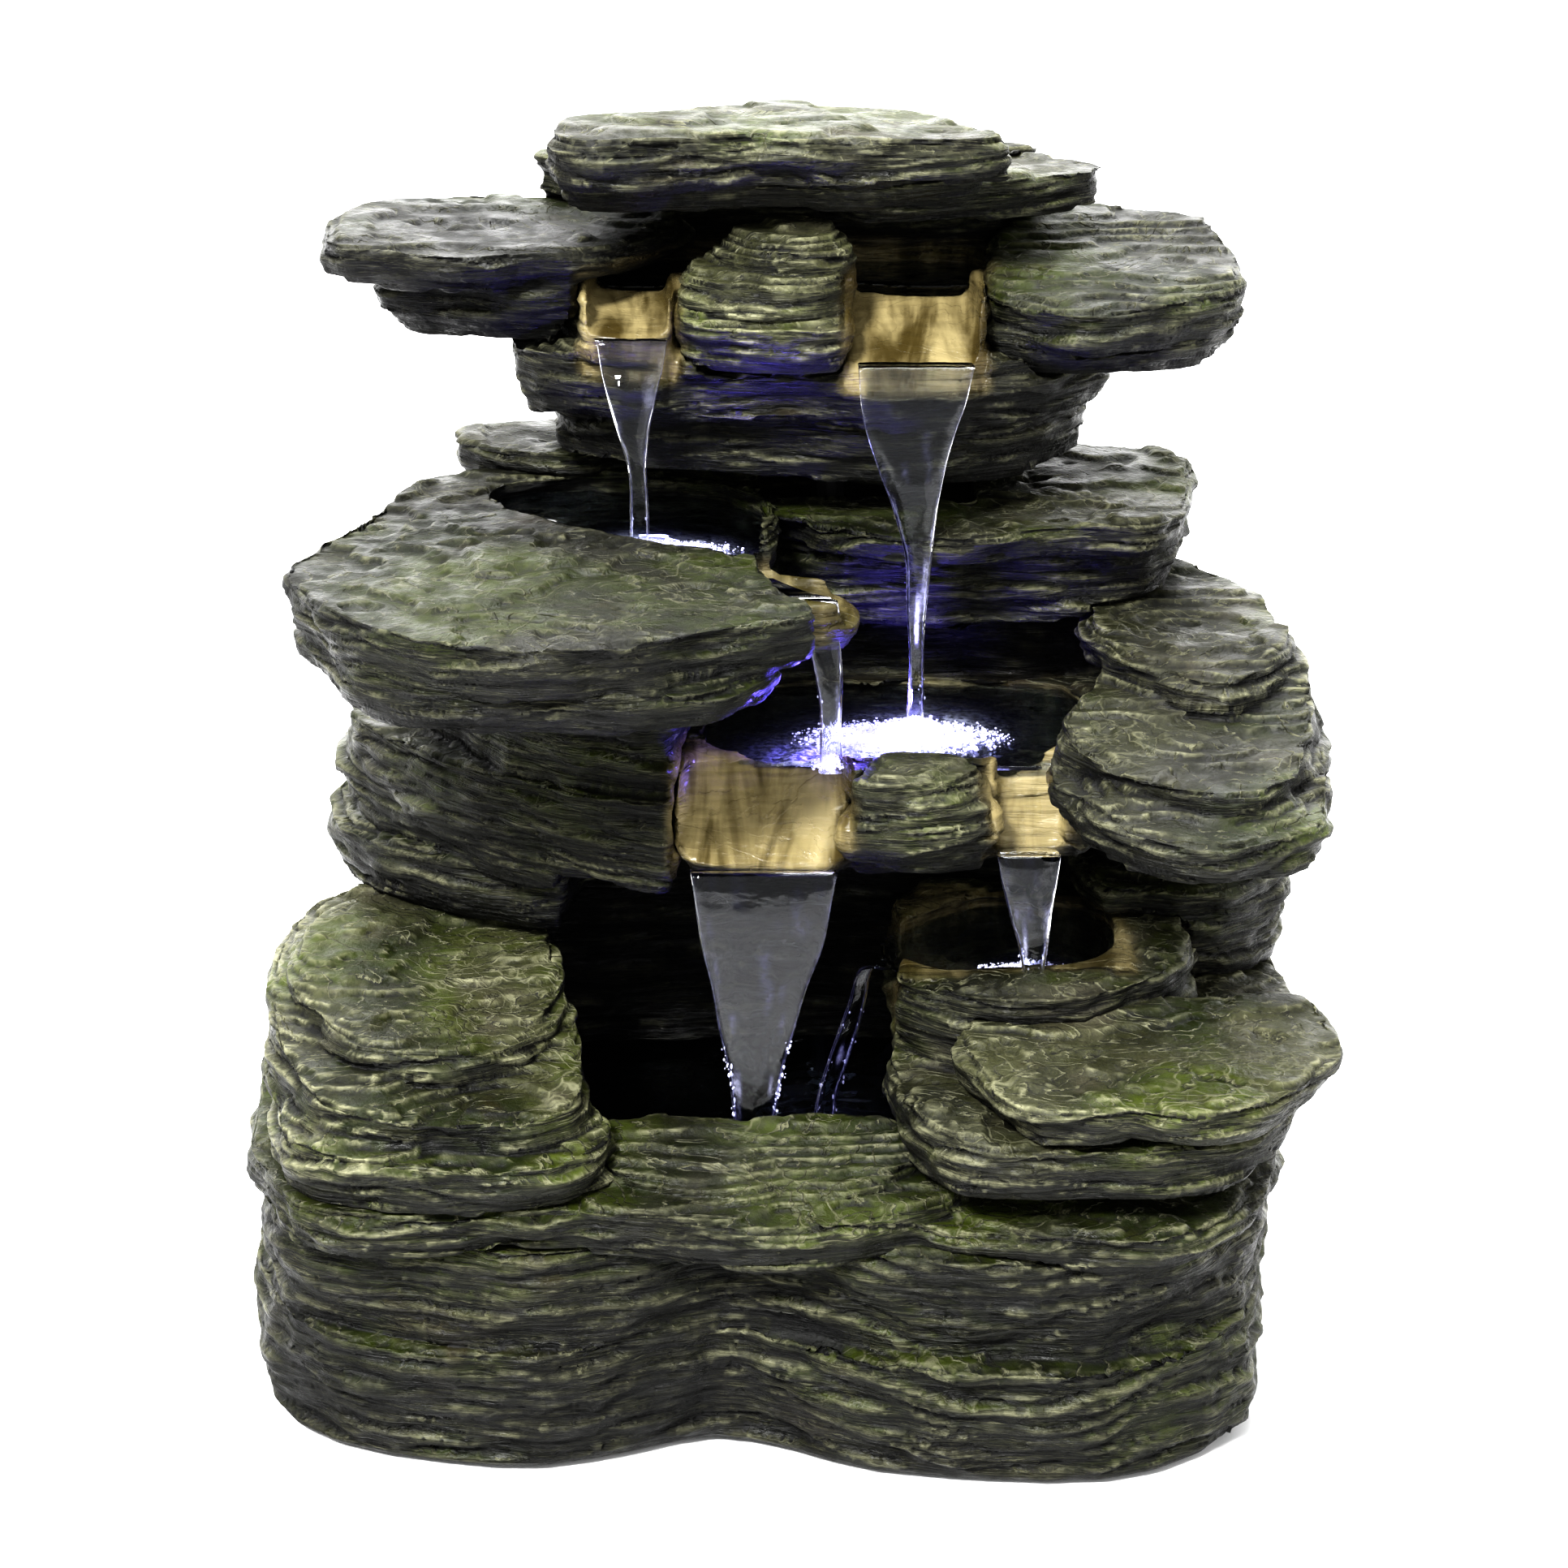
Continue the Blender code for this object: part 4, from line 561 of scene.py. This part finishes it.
def carve_rock(node, material, voxel, seed=1, keep=0.55):
    """The visible rock for a CAD node: rounded, then split into strata on its sides and flakes on its flats."""
    rock = remeshed(node + "_rock", node, voxel)
    mesh = rock.data
    points, edges = mesh_arrays(mesh)
    start = points.copy()
    for _ in range(int(round(9 * (0.0018 / voxel) ** 1.5))):
        points += 0.5 * (neighbour_mean(points, edges) - points)
    normals = vertex_normals(mesh, points)
    wet = np.zeros(len(points))
    for low, high, share in WET:
        wet = np.maximum(wet, share * box_share(points, low, high, 7))
    kept = np.zeros(len(points))
    for low, high in KEPT:
        kept = np.maximum(kept, box_share(points, low, high, 4))
    kept = np.maximum(kept, smooth(-points[:, 2], -9 * MM, -5 * MM))
    free = (1 - kept) * (1 - 0.75 * smooth(wet, 0.1, 0.8))

    broad = rough_noise(points, 0.060, seed, 4)
    points = points + normals * (free * (broad * 5.5 - 0.4) * MM)[:, None]
    normals = vertex_normals(mesh, points)

    side = smooth(-np.abs(normals[:, 2]), -0.90, -0.50)
    level = normals[:, :2] / np.maximum(np.linalg.norm(normals[:, :2], axis=1), 0.2)[:, None]
    lean = rough_noise(points * np.array([1, 1, 0.2]), 0.08, seed + 3, 2)
    bed = points[:, 2] + lean * 10 * MM + rough_noise(points, 0.024, seed + 4, 2) * 2.6 * MM
    thick, thick_crack = strata(points, bed, 7.6 * MM, 0.034, seed + 7)
    thin, thin_crack = strata(points, bed, 2.9 * MM, 0.018, seed + 9, 0.6)
    out = thick * 6.0 + thin * 2.6 - thick_crack * 2.6 - thin_crack * 1.0 + 0.2
    points[:, :2] += level * (side * free * out * MM)[:, None]

    flat = smooth(np.abs(normals[:, 2]), 0.20, 0.65)
    grain = points * np.array([1.0, 1.6, 0.4])
    flake = rough_noise(grain, 0.055, seed + 11, 5) * 5.5 * MM
    tread = 2.7 * MM
    riser = (points[:, 2] + flake) / tread
    whole = np.floor(riser)
    snapped = (whole + smooth(riser - whole, 0.66, 1.0)) * tread - 0.5 * flake - 0.31 * tread
    points[:, 2] += flat * free * (snapped - points[:, 2])

    normals = vertex_normals(mesh, points)
    curve = np.einsum("ij,ij->i", neighbour_mean(points, edges) - points, normals) / voxel
    curve = 0.6 * curve + 0.4 * neighbour_mean(curve[:, None], edges)[:, 0]
    wide = points.copy()
    for _ in range(int(round(14 * (0.0018 / voxel) ** 1.5))):
        wide += 0.6 * (neighbour_mean(wide, edges) - wide)
    hollow = np.einsum("ij,ij->i", wide - points, normals) / MM
    patchy = smooth(rough_noise(points, 0.022, seed + 21, 2), -0.35, 0.45)
    # Where edges turn pale, for dry-brush paint and painted highlight: convex edges not turned down, patchy, less where
    # wet.
    edge = smooth(-curve, 0.06, 0.26) * (0.30 + 0.70 * patchy) * (1 - 0.7 * wet) * smooth(normals[:, 2], -0.5, 0.2)
    # Painted shade: how far each point lies in a crease or hollow, less where wet.
    painted_hollow_shade = np.clip(smooth(curve, 0.06, 0.26) * 0.7 + smooth(hollow, 0.5, 1.9) * 0.8, 0, 0.93) * (1 - 0.6 * wet)
    wet_up = wet * smooth(normals[:, 2], -0.75, 0.15)
    write_look(mesh, edge, painted_hollow_shade, wet_up)
    thin_out(rock, keep)
    mesh = rock.data
    for face in mesh.polygons:
        face.use_smooth = True
    mesh.materials.clear()
    mesh.materials.append(material)
    shift = np.abs(points - start).max() * 1000
    print(f"{node}: {len(mesh.polygons)} faces, moved at most {shift:.1f} mm")
    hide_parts(node)
    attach(rock, ROOT)
    return rock


def thin_out(rock, keep):
    """Fewer faces where the surface is plain."""
    if keep >= 1.0:
        return
    modifier = rock.modifiers.new("thin", "DECIMATE")
    modifier.ratio = keep
    old = rock.data
    depsgraph = bpy.context.evaluated_depsgraph_get()
    rock.data = bpy.data.meshes.new_from_object(rock.evaluated_get(depsgraph))
    rock.modifiers.clear()
    bpy.data.meshes.remove(old)


def slot_of(node):
    for part in frame["record"]["subparts"]:
        if part["node"] == node:
            return part["material_slot"]
    raise KeyError(node)


ROCKS = {
    # node: seed, moss, light, tan
    "reservoir_tub": (11, 0.70, 0.90, 0.55),
    "rim_ledge": (12, 0.75, 1.10, 0.25),
    "left_boulder": (13, 0.60, 1.60, 0.30),
    "right_basin": (14, 0.55, 1.20, 0.45),
    "flagstone": (15, 0.25, 1.60, 0.15),
    "back_column": (16, 0.30, 0.50, 0.35),
    "left_crags": (17, 0.70, 0.85, 0.45),
    "right_crag": (18, 0.90, 0.95, 0.25),
    "middle_basin": (19, 0.35, 0.90, 0.60),
    "divider_stone": (20, 0.45, 1.30, 0.15),
    "right_tier": (21, 0.60, 1.05, 0.25),
    "left_tier": (22, 0.60, 0.75, 0.50),
    "upper_column": (23, 0.55, 0.95, 0.25),
    "top_basin": (24, 0.35, 0.85, 0.35),
    "wedge_stone": (25, 0.55, 1.85, 0.20),
    "top_left_ledge": (26, 0.75, 0.50, 0.35),
    "top_right_ledge": (27, 0.80, 0.75, 0.30),
    "cap_slab_lower": (28, 0.75, 1.10, 0.35),
    "cap_slab_upper": (29, 0.55, 1.15, 0.35),
}


VOXELS = {"reservoir_tub": 0.0018, "back_column": 0.0026}
FINE_VOXEL, QUICK_VOXEL = 0.0013, 0.0024


def make_rocks():
    made = {}
    for node, (seed, moss, light, tan) in ROCKS.items():
        voxel = VOXELS.get(node, FINE_VOXEL)
        keep = 0.5
        made[node] = carve_rock(node, slate_material(node + "_slate", moss, light, tan), voxel, seed, keep)
    return made


# ---------------------------------------------------------------- water

POOLS = {
    # name: outline in millimetres, level, where the water lands in it, and how far its foam reaches
    "top_pool": ([(-77, 126), (-81, 90), (-62, 78), (-20, 86), (20, 86), (60, 78), (85, 88), (83, 127)], 430.5, [], 12),
    "left_pool": ([(-128, 80), (-120, 50), (-98, 24), (-80, 8), (-50, -8), (-24, -10), (-7, 16), (-5, 58),
                   (-22, 88), (-70, 102), (-112, 97)], 336.5, [(-59, 12), (-40, 4)], 15),
    "middle_pool": ([(-28, 60), (-36, 16), (-36, -18), (-12, -34), (30, -36), (76, -38), (110, -36), (120, -8),
                     (130, 22), (124, 64), (50, 70)], 259.5, [(54, 2), (36, -10), (19, -30)], 24),
    "right_pool": ([(45, -8), (42, -34), (58, -54), (96, -58), (132, -44), (142, -12), (130, 22), (84, 30)],
                   173.5, [(100, -54)], 12),
    "reservoir": ([(-204, -40), (-196, -92), (-172, -122), (-130, -136), (-94, -140), (-54, -126), (-24, -116),
                   (8, -124), (44, -138), (100, -146), (142, -140), (174, -108), (190, -56), (196, 50),
                   (184, 128), (110, 150), (0, 150), (-110, 148), (-186, 128), (-204, 50)], 90.0,
                  [(-12, -82), (17, -29)], 12),
}


def closed_curve(outline, steps=6):
    """A smooth closed line through points, as many as steps for each."""
    p = np.array(outline, dtype=float)
    count = len(p)
    line = []
    for i in range(count):
        a, b, c, d = p[i - 1], p[i], p[(i + 1) % count], p[(i + 2) % count]
        for k in range(steps):
            t = k / steps
            line.append(0.5 * (2 * b + (c - a) * t + (2 * a - 5 * b + 4 * c - d) * t ** 2
                               + (3 * b - a - 3 * c + d) * t ** 3))
    return np.array(line)


def inside(points, line):
    x, y = points[:, 0], points[:, 1]
    hit = np.zeros(len(points), dtype=bool)
    for (x1, y1), (x2, y2) in zip(line, np.roll(line, -1, axis=0)):
        if y1 == y2:
            continue
        crosses = (y1 > y) != (y2 > y)
        hit ^= crosses & (x < (x2 - x1) * (y - y1) / (y2 - y1) + x1)
    return hit


def pool_surface(name, outline, level, landings, landing_reach, material, step=2.0, depth=1.6):
    """A rippled sheet of water over a pool: its top with waves round each landing, and a flat underside."""
    line = closed_curve(outline)
    low, high = line.min(0), line.max(0)
    xs = np.arange(low[0], high[0] + step, step)
    ys = np.arange(low[1], high[1] + step, step)
    gx, gy = np.meshgrid(xs, ys)
    flatten = np.column_stack([gx.ravel(), gy.ravel()])
    centres = np.column_stack([(gx[:-1, :-1] + step / 2).ravel(), (gy[:-1, :-1] + step / 2).ravel()])
    used = inside(centres, line)
    spots = np.column_stack([flatten, np.zeros(len(flatten))])
    wave = 0.30 * noise(spots, 9.0, 5) + 0.22 * noise(spots, 4.5, 6)
    for x, y in landings:
        away = np.hypot(flatten[:, 0] - x, flatten[:, 1] - y)
        wave += 0.9 * np.sin(away / 1.9) * np.exp(-away / 22) + 0.5 * np.exp(-away / 6)
    columns = len(xs)
    quads = [(r * columns + c, r * columns + c + 1, (r + 1) * columns + c + 1, (r + 1) * columns + c)
             for r in range(len(ys) - 1) for c in range(columns - 1) if used[r * (columns - 1) + c]]
    keep = sorted({v for quad in quads for v in quad})
    index = {v: i for i, v in enumerate(keep)}
    top = [(flatten[v, 0] * MM, flatten[v, 1] * MM, (level + wave[v]) * MM) for v in keep]
    below = [(x, y, (level - depth) * MM) for x, y, _ in top]
    n = len(top)
    faces = [tuple(index[v] for v in quad) for quad in quads]
    rims = {}
    for face in faces:
        for a, b in zip(face, face[1:] + face[:1]):
            rims[(a, b)] = not rims.pop((b, a), False) and (b, a) not in rims
    border = [pair for pair, open_side in rims.items() if open_side]
    faces_all = faces + [tuple(n + v for v in reversed(face)) for face in faces]
    faces_all += [(b, a, n + a, n + b) for a, b in border]
    mesh = bpy.data.meshes.new(name)
    mesh.from_pydata(top + below, [], faces_all)
    for face in mesh.polygons:
        face.use_smooth = True
    foam = np.zeros(2 * n)
    for x, y in landings:
        away = np.hypot(np.array([t[0] for t in top]) / MM - x, np.array([t[1] for t in top]) / MM - y)
        foam[:n] = np.maximum(foam[:n], 0.95 * np.exp(-(away / landing_reach) ** 2))
    # The second value is a painted violet glow where the foam is.
    write_look(mesh, foam, foam * 0.3, 0)
    return add_piece(name, mesh, material)


def add_piece(name, mesh, material):
    piece = bpy.data.objects.new(name, mesh)
    scene.collection.objects.link(piece)
    mesh.materials.append(material)
    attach(piece, ROOT)
    return piece


FALLS = {
    # name: film rows (y, left x, right x) run back from the lip; drop rows (y, z, left x, right x) hang below it
    "left_fall": ([(100, -72, -50), (80, -74, -48), (60, -77, -46), (44, -78, -46), (35, -78, -47)],
                  [(28, 418, -76, -47.5), (25, 408, -74.5, -49), (22, 400, -72.6, -51.2), (18, 384, -67.8, -54.6),
                   (15, 368, -63.5, -55.7), (13, 350, -62.6, -55.2), (12, 337, -63.0, -55.0), (12, 334, -64, -54)]),
    "right_fall": ([(100, 34, 73), (80, 32, 75), (60, 30, 76), (42, 29, 77), (30, 30, 77)],
                   [(22, 408, 30, 77), (19, 396, 31, 74), (17, 383, 33.5, 69.5), (15, 368, 38, 66),
                    (13, 352, 44.5, 62.5), (11, 331, 49.5, 60.5), (9, 308, 50.5, 58), (8, 284, 51.5, 57.5),
                    (8, 262, 50.5, 58), (8, 257, 50, 59)]),
    "left_stream": ([(0, -26, -4), (-8, -20, 6), (-16, -8, 14), (-24, 2, 20)],
                    [(-31, 324, 7, 22), (-33, 314, 8.5, 22), (-35, 304, 11, 23), (-37, 290, 13.5, 23.5),
                     (-38, 275, 14.5, 23), (-38, 260, 14.5, 23.5), (-38, 257, 14, 24)]),
    "wide_fall": ([(-22, -32, 18), (-32, -34, 19), (-44, -36, 20), (-56, -37, 21), (-66, -37.5, 21.5)],
                  [(-74, 226, -37, 21), (-77, 214, -35.5, 19), (-79, 196, -32.5, 15), (-81, 178, -29, 9),
                   (-82, 160, -25.5, 3.5), (-83, 142, -22.5, -0.5), (-84, 124, -20, -4), (-84, 104, -17.5, -6.5),
                   (-84, 91, -17, -7), (-84, 87, -18, -6)]),
    "narrow_fall": ([(-20, 90, 108), (-30, 89, 109), (-42, 87, 110), (-50, 86, 111)],
                    [(-56, 226, 86, 111), (-58, 214, 88, 109.5), (-59, 202, 91, 108), (-60, 191, 94.5, 106.5),
                     (-60, 178, 96.5, 105), (-60, 171, 96, 106)]),
    "spout_fall": ([(-26, 60, 61), (-26, 50, 51), (-26, 42, 43)],
                   [(-26, 166, 31.5, 36.5), (-26.5, 152, 27, 34), (-27, 138, 22.5, 30.5), (-28, 124, 18, 26),
                    (-29, 108, 13.5, 22), (-30, 91, 12, 21), (-30, 87, 11, 22)]),
}


def rock_trees(rocks):
    trees = []
    for rock in rocks.values():
        mesh = rock.data
        verts = np.empty(len(mesh.vertices) * 3)
        mesh.vertices.foreach_get("co", verts)
        faces = [tuple(face.vertices) for face in mesh.polygons]
        trees.append(BVHTree.FromPolygons([tuple(v) for v in verts.reshape(-1, 3)], faces))
    return trees


def rest_height(trees, x, y, top, reach=0.05):
    """The highest rock under a point, looking down from top, or None."""
    best = None
    for tree in trees:
        place, _, _, _ = tree.ray_cast(Vector((x, y, top)), Vector((0, 0, -1)), reach)
        if place is not None and (best is None or place.z > best):
            best = place.z
    return best


def make_fall(name, film, drop, trees, material, start_z, seed, across=22, between=7):
    """One ribbon of water: a film over the chute, then a sheet that narrows as it falls."""
    rows = []
    high = start_z * MM
    for below, (y, left, right) in enumerate(film, -len(film)):
        middle = (left + right) / 2 * MM
        ground = rest_height(trees, middle, y * MM, high + 0.006)
        z = min(high, (ground if ground is not None else high - 0.0020) + 0.0011)
        z = max(z, (drop[0][1] - below * 0.2) * MM)
        high = z - 0.3 * MM
        rows.append((y * MM, z, left * MM, right * MM, 0.0))
    for k, (y, z, left, right) in enumerate(drop):
        rows.append((y * MM, z * MM, left * MM, right * MM, (k + 1) / len(drop)))
    rows = np.array(rows)
    smooth_rows = []
    for i in range(len(rows) - 1):
        a, b = rows[max(i - 1, 0)], rows[i]
        c, d = rows[i + 1], rows[min(i + 2, len(rows) - 1)]
        for k in range(between):
            t = k / between
            smooth_rows.append(0.5 * (2 * b + (c - a) * t + (2 * a - 5 * b + 4 * c - d) * t ** 2
                                      + (3 * b - a - 3 * c + d) * t ** 3))
    smooth_rows.append(rows[-1])
    r = np.array(smooth_rows)
    count = len(r)
    u = np.linspace(-1, 1, across)
    along = np.concatenate([[0], np.cumsum(np.linalg.norm(np.diff(r[:, :2], axis=0), axis=1))])
    direction = np.gradient(r[:, :2], axis=0)
    direction /= np.linalg.norm(direction, axis=1)[:, None]
    normal = np.column_stack([direction[:, 1], -direction[:, 0]])
    normal *= np.where(normal[:, 0] > 0, -1, 1)[:, None]
    fallen = r[:, 4]
    half = (r[:, 3] - r[:, 2]) / 2
    centre = (r[:, 3] + r[:, 2]) / 2
    front, back, foam = [], [], []
    for i in range(count):
        x = centre[i] + half[i] * np.sin(u * math.pi / 2) * (1 + 0.05 * fallen[i] * math.sin(along[i] / 0.006 + seed))
        spots = np.column_stack([u * half[i] * 1.0, np.full(across, along[i] * 0.30), np.full(across, seed)])
        ripple = noise(spots, 0.0034, seed) * 0.45 + noise(spots, 0.0015, seed + 1) * 0.22
        rim = np.exp(-((1 - np.abs(u)) / 0.16) ** 2)
        narrow = np.clip(half[i] / 0.012, 0.25, 1)
        middle = 0.45 + 0.9 * (1 - narrow)
        body = (middle + 1.15 * rim * np.clip(fallen[i] * 3, 0, 1)) * np.sqrt(np.clip(1 - np.abs(u) ** 6, 0, 1))
        swell = np.sqrt(np.clip(1 - u ** 2, 0, 1)) * half[i] * 0.7 * (1 - narrow)
        bulge = 0.0035 * np.clip(fallen[i] * 2, 0, 1) * narrow * (np.abs(u) ** 2)
        y_front = -(body * MM + swell) - ripple * MM * (0.35 + 0.65 * min(1, fallen[i] * 4)) + bulge
        y_back = (body * MM * 0.4 + swell) + bulge
        for k in range(across):
            front.append((x[k], r[i, 0] + normal[i, 0] * -y_front[k], r[i, 1] + normal[i, 1] * -y_front[k]))
            back.append((x[k], r[i, 0] + normal[i, 0] * -y_back[k], r[i, 1] + normal[i, 1] * -y_back[k]))
        lace = smooth(noise(spots, (0.0022, 0.004, 1), seed + 3), 0.30, 0.8)
        foam.append(np.clip(rim * 0.45 * fallen[i] + lace * fallen[i] * (0.15 + 0.55 * (1 - narrow + fallen[i] ** 3))
                            + 0.65 * smooth(np.full(across, fallen[i]), 0.82, 1.0), 0, 1))
    verts = front + back
    n = len(front)
    faces = []
    for i in range(count - 1):
        for k in range(across - 1):
            a = i * across + k
            faces.append((a, a + 1, a + across + 1, a + across))
            faces.append((n + a + across, n + a + across + 1, n + a + 1, n + a))
        for k in (0, across - 1):
            a = i * across + k
            side = (a, a + across, n + a + across, n + a)
            faces.append(side if k == 0 else tuple(reversed(side)))
    for i in (0, count - 1):
        for k in range(across - 1):
            a = i * across + k
            end = (a, n + a, n + a + 1, a + 1)
            faces.append(end if i == 0 else tuple(reversed(end)))
    mesh = bpy.data.meshes.new(name)
    mesh.from_pydata(verts, [], faces)
    for face in mesh.polygons:
        face.use_smooth = True
    share = np.concatenate(foam)
    share = np.concatenate([share, share])
    # The second value is a painted violet glow where the foam is.
    write_look(mesh, share, share * 0.5, 0)
    return add_piece(name, mesh, material)


def bubbles(name, spots, material):
    """Foam and drops: many small squashed bubbles in one mesh. Each spot is x, y, z, radius and flatness."""
    ball = bmesh.new()
    bmesh.ops.create_icosphere(ball, subdivisions=1, radius=1.0)
    base = np.array([v.co[:] for v in ball.verts])
    shape = [tuple(v.index for v in face.verts) for face in ball.faces]
    ball.free()
    verts, faces = [], []
    for i, (x, y, z, radius, tall) in enumerate(spots):
        dent = 1 + 0.12 * noise(base * 1.3 + i, 1.0, i)
        round_ball = base * dent[:, None] * np.array([radius, radius, radius * tall])
        verts.extend(map(tuple, round_ball + np.array([x, y, z])))
        faces.extend(tuple(v + i * len(base) for v in face) for face in shape)
    mesh = bpy.data.meshes.new(name)
    mesh.from_pydata(verts, [], faces)
    for face in mesh.polygons:
        face.use_smooth = True
    return add_piece(name, mesh, material)


def foam_spots(rng, centre, spread, level, count, largest, stretch=(1.0, 1.0)):
    spots = []
    for _ in range(count):
        turn = rng.uniform(0, 2 * math.pi)
        away = spread * math.sqrt(rng.uniform(0, 1)) * (0.55 + 0.45 * rng.uniform())
        x = centre[0] + away * math.cos(turn) * stretch[0]
        y = centre[1] + away * math.sin(turn) * stretch[1]
        near = 1 - away / spread
        radius = largest * (0.30 + 0.70 * rng.uniform() ** 2) * (0.6 + 0.5 * near)
        z = level + rng.uniform(-0.5, 0.6) + 2.2 * near ** 2 * rng.uniform()
        spots.append((x * MM, y * MM, z * MM, radius * MM, rng.uniform(0.6, 0.95)))
    return spots


def drop_spots(rng, name, first, count, radius):
    """Beads that leave a sheet's two edges, between the row numbered first and the bottom."""
    rows = FALLS[name][1]
    spots = []
    for _ in range(count):
        at = rng.uniform(first, len(rows) - 1.01)
        i = int(at)
        t = at - i
        y, z, left, right = (rows[i][k] * (1 - t) + rows[i + 1][k] * t for k in range(4))
        edge = left if rng.uniform() < 0.5 else right
        x = edge + rng.normal(0, 0.7) + (1 if edge == left else -1) * 0.5
        size = radius * rng.uniform(0.35, 1.0)
        spots.append((x * MM, (y + rng.normal(0, 0.8)) * MM, z * MM, size * MM, rng.uniform(1.0, 2.4)))
    return spots


def make_water(rocks):
    clear = water_material("clear_water")
    dark = water_material("pool_water", (0.72, 0.80, 0.95, 1.0), 0.0005)
    for name, (outline, level, landings, reach) in POOLS.items():
        pool_surface(name + "_water", outline, level, landings, reach, dark)
    trees = rock_trees({node: rocks[node] for node in
                        ("top_basin", "left_tier", "middle_basin", "right_basin")})
    starts = {"left_fall": 433, "right_fall": 431, "left_stream": 337.5, "wide_fall": 260.5, "narrow_fall": 260.5,
              "spout_fall": 174}
    for seed, (name, (film, drop)) in enumerate(FALLS.items(), 3):
        make_fall(name + "_water", film, drop, trees, clear, starts[name], seed)
    rng = np.random.default_rng(7)
    # Foam that glows with painted light, strongly and faintly.
    lit = foam_material("strong_painted_glow_foam", 0.9)
    plain = foam_material("faint_painted_glow_foam", 0.12)
    spots = foam_spots(rng, (-48, 8), 30, 336.8, 900, 1.15, (1.1, 0.45))
    spots += foam_spots(rng, (-59, 11), 9, 337.5, 200, 1.5)
    bubbles("left_pool_foam", spots, lit)
    spots = foam_spots(rng, (48, -4), 46, 259.8, 2600, 1.35, (1.05, 0.55))
    spots += foam_spots(rng, (54, 6), 14, 261.0, 420, 1.9)
    spots += foam_spots(rng, (19, -37), 10, 260.3, 220, 1.3)
    bubbles("middle_pool_foam", spots, lit)
    spots = foam_spots(rng, (98, -46), 20, 173.6, 420, 1.5, (1.2, 0.6))
    spots += foam_spots(rng, (101, -56), 8, 174.4, 130, 1.9)
    bubbles("right_pool_foam", spots, plain)
    spots = foam_spots(rng, (-12, -80), 22, 90.5, 420, 1.4, (1.2, 0.7))
    spots += foam_spots(rng, (16, -32), 12, 90.5, 120, 1.3)
    spots += foam_spots(rng, (-50, -78), 14, 90.3, 90, 1.2)
    bubbles("reservoir_foam", spots, plain)
    drops = drop_spots(rng, "wide_fall", 4, 110, 0.65) + drop_spots(rng, "right_fall", 7, 20, 0.5)
    drops += drop_spots(rng, "left_fall", 5, 12, 0.5) + drop_spots(rng, "narrow_fall", 3, 26, 0.6)
    drops += drop_spots(rng, "left_stream", 3, 22, 0.6) + drop_spots(rng, "spout_fall", 1, 40, 0.6)
    bubbles("falling_drops", drops, water_drops())


def water_drops():
    s = Shader("water_drops")
    s.set("Base Color", s.mix(s.noise(s.place(), 500.0, 2.0), (0.80, 0.84, 1.0, 1), (0.95, 0.96, 1.0, 1)))
    s.set("Roughness", 0.06)
    s.set("IOR", 1.333)
    s.set("Transmission Weight", 0.7)
    # Painted glow: a little violet light from the drops.
    s.set("Emission Color", (0.55, 0.52, 1.0, 1.0))
    s.set("Emission Strength", 0.15)
    return s.material


# ---------------------------------------------------------------- fittings

def dress_fittings():
    """A material for every CAD node that shows as it is."""
    by_slot = {
        "black_plastic": plastic_material("black_plastic_look", 0.020),
        "grey_plastic": plastic_material("grey_plastic_look", 0.13, 0.36),
        "black_rubber": rubber_material("black_rubber_look"),
        "steel": steel_material("steel_look"),
        "axle_ceramic": ceramic_material("axle_ceramic_look"),
        "light_lens": lens_material("light_lens_look"),
        "slate_stone": slate_material("panel_slate", 0.35, 0.9, 0.3),
    }
    for name, node in nodes.items():
        if name in ROCKS:
            continue
        material = by_slot[slot_of(name)]
        node.data.materials.clear()
        node.data.materials.append(material)


def make_glow():
    glow_lamp("left_glow", (-0.028, -0.010, 0.341), (-0.010, 0.030, 0.430), 1.3, 60)
    glow_lamp("left_side_glow", (-0.070, 0.010, 0.341), (-0.100, 0.010, 0.430), 0.9, 90)
    glow_lamp("middle_glow", (0.039, -0.010, 0.268), (0.075, 0.034, 0.330), 1.0, 110)
    glow_lamp("middle_front_glow", (0.039, -0.030, 0.268), (-0.040, -0.060, 0.300), 0.8, 140)
    glow_lamp("cavern_glow", (-0.009, -0.060, 0.094), (-0.040, -0.060, 0.220), 0.25, 100)


make_camera()
make_stage()
rocks = make_rocks()
make_water(rocks)
dress_fittings()
make_glow()
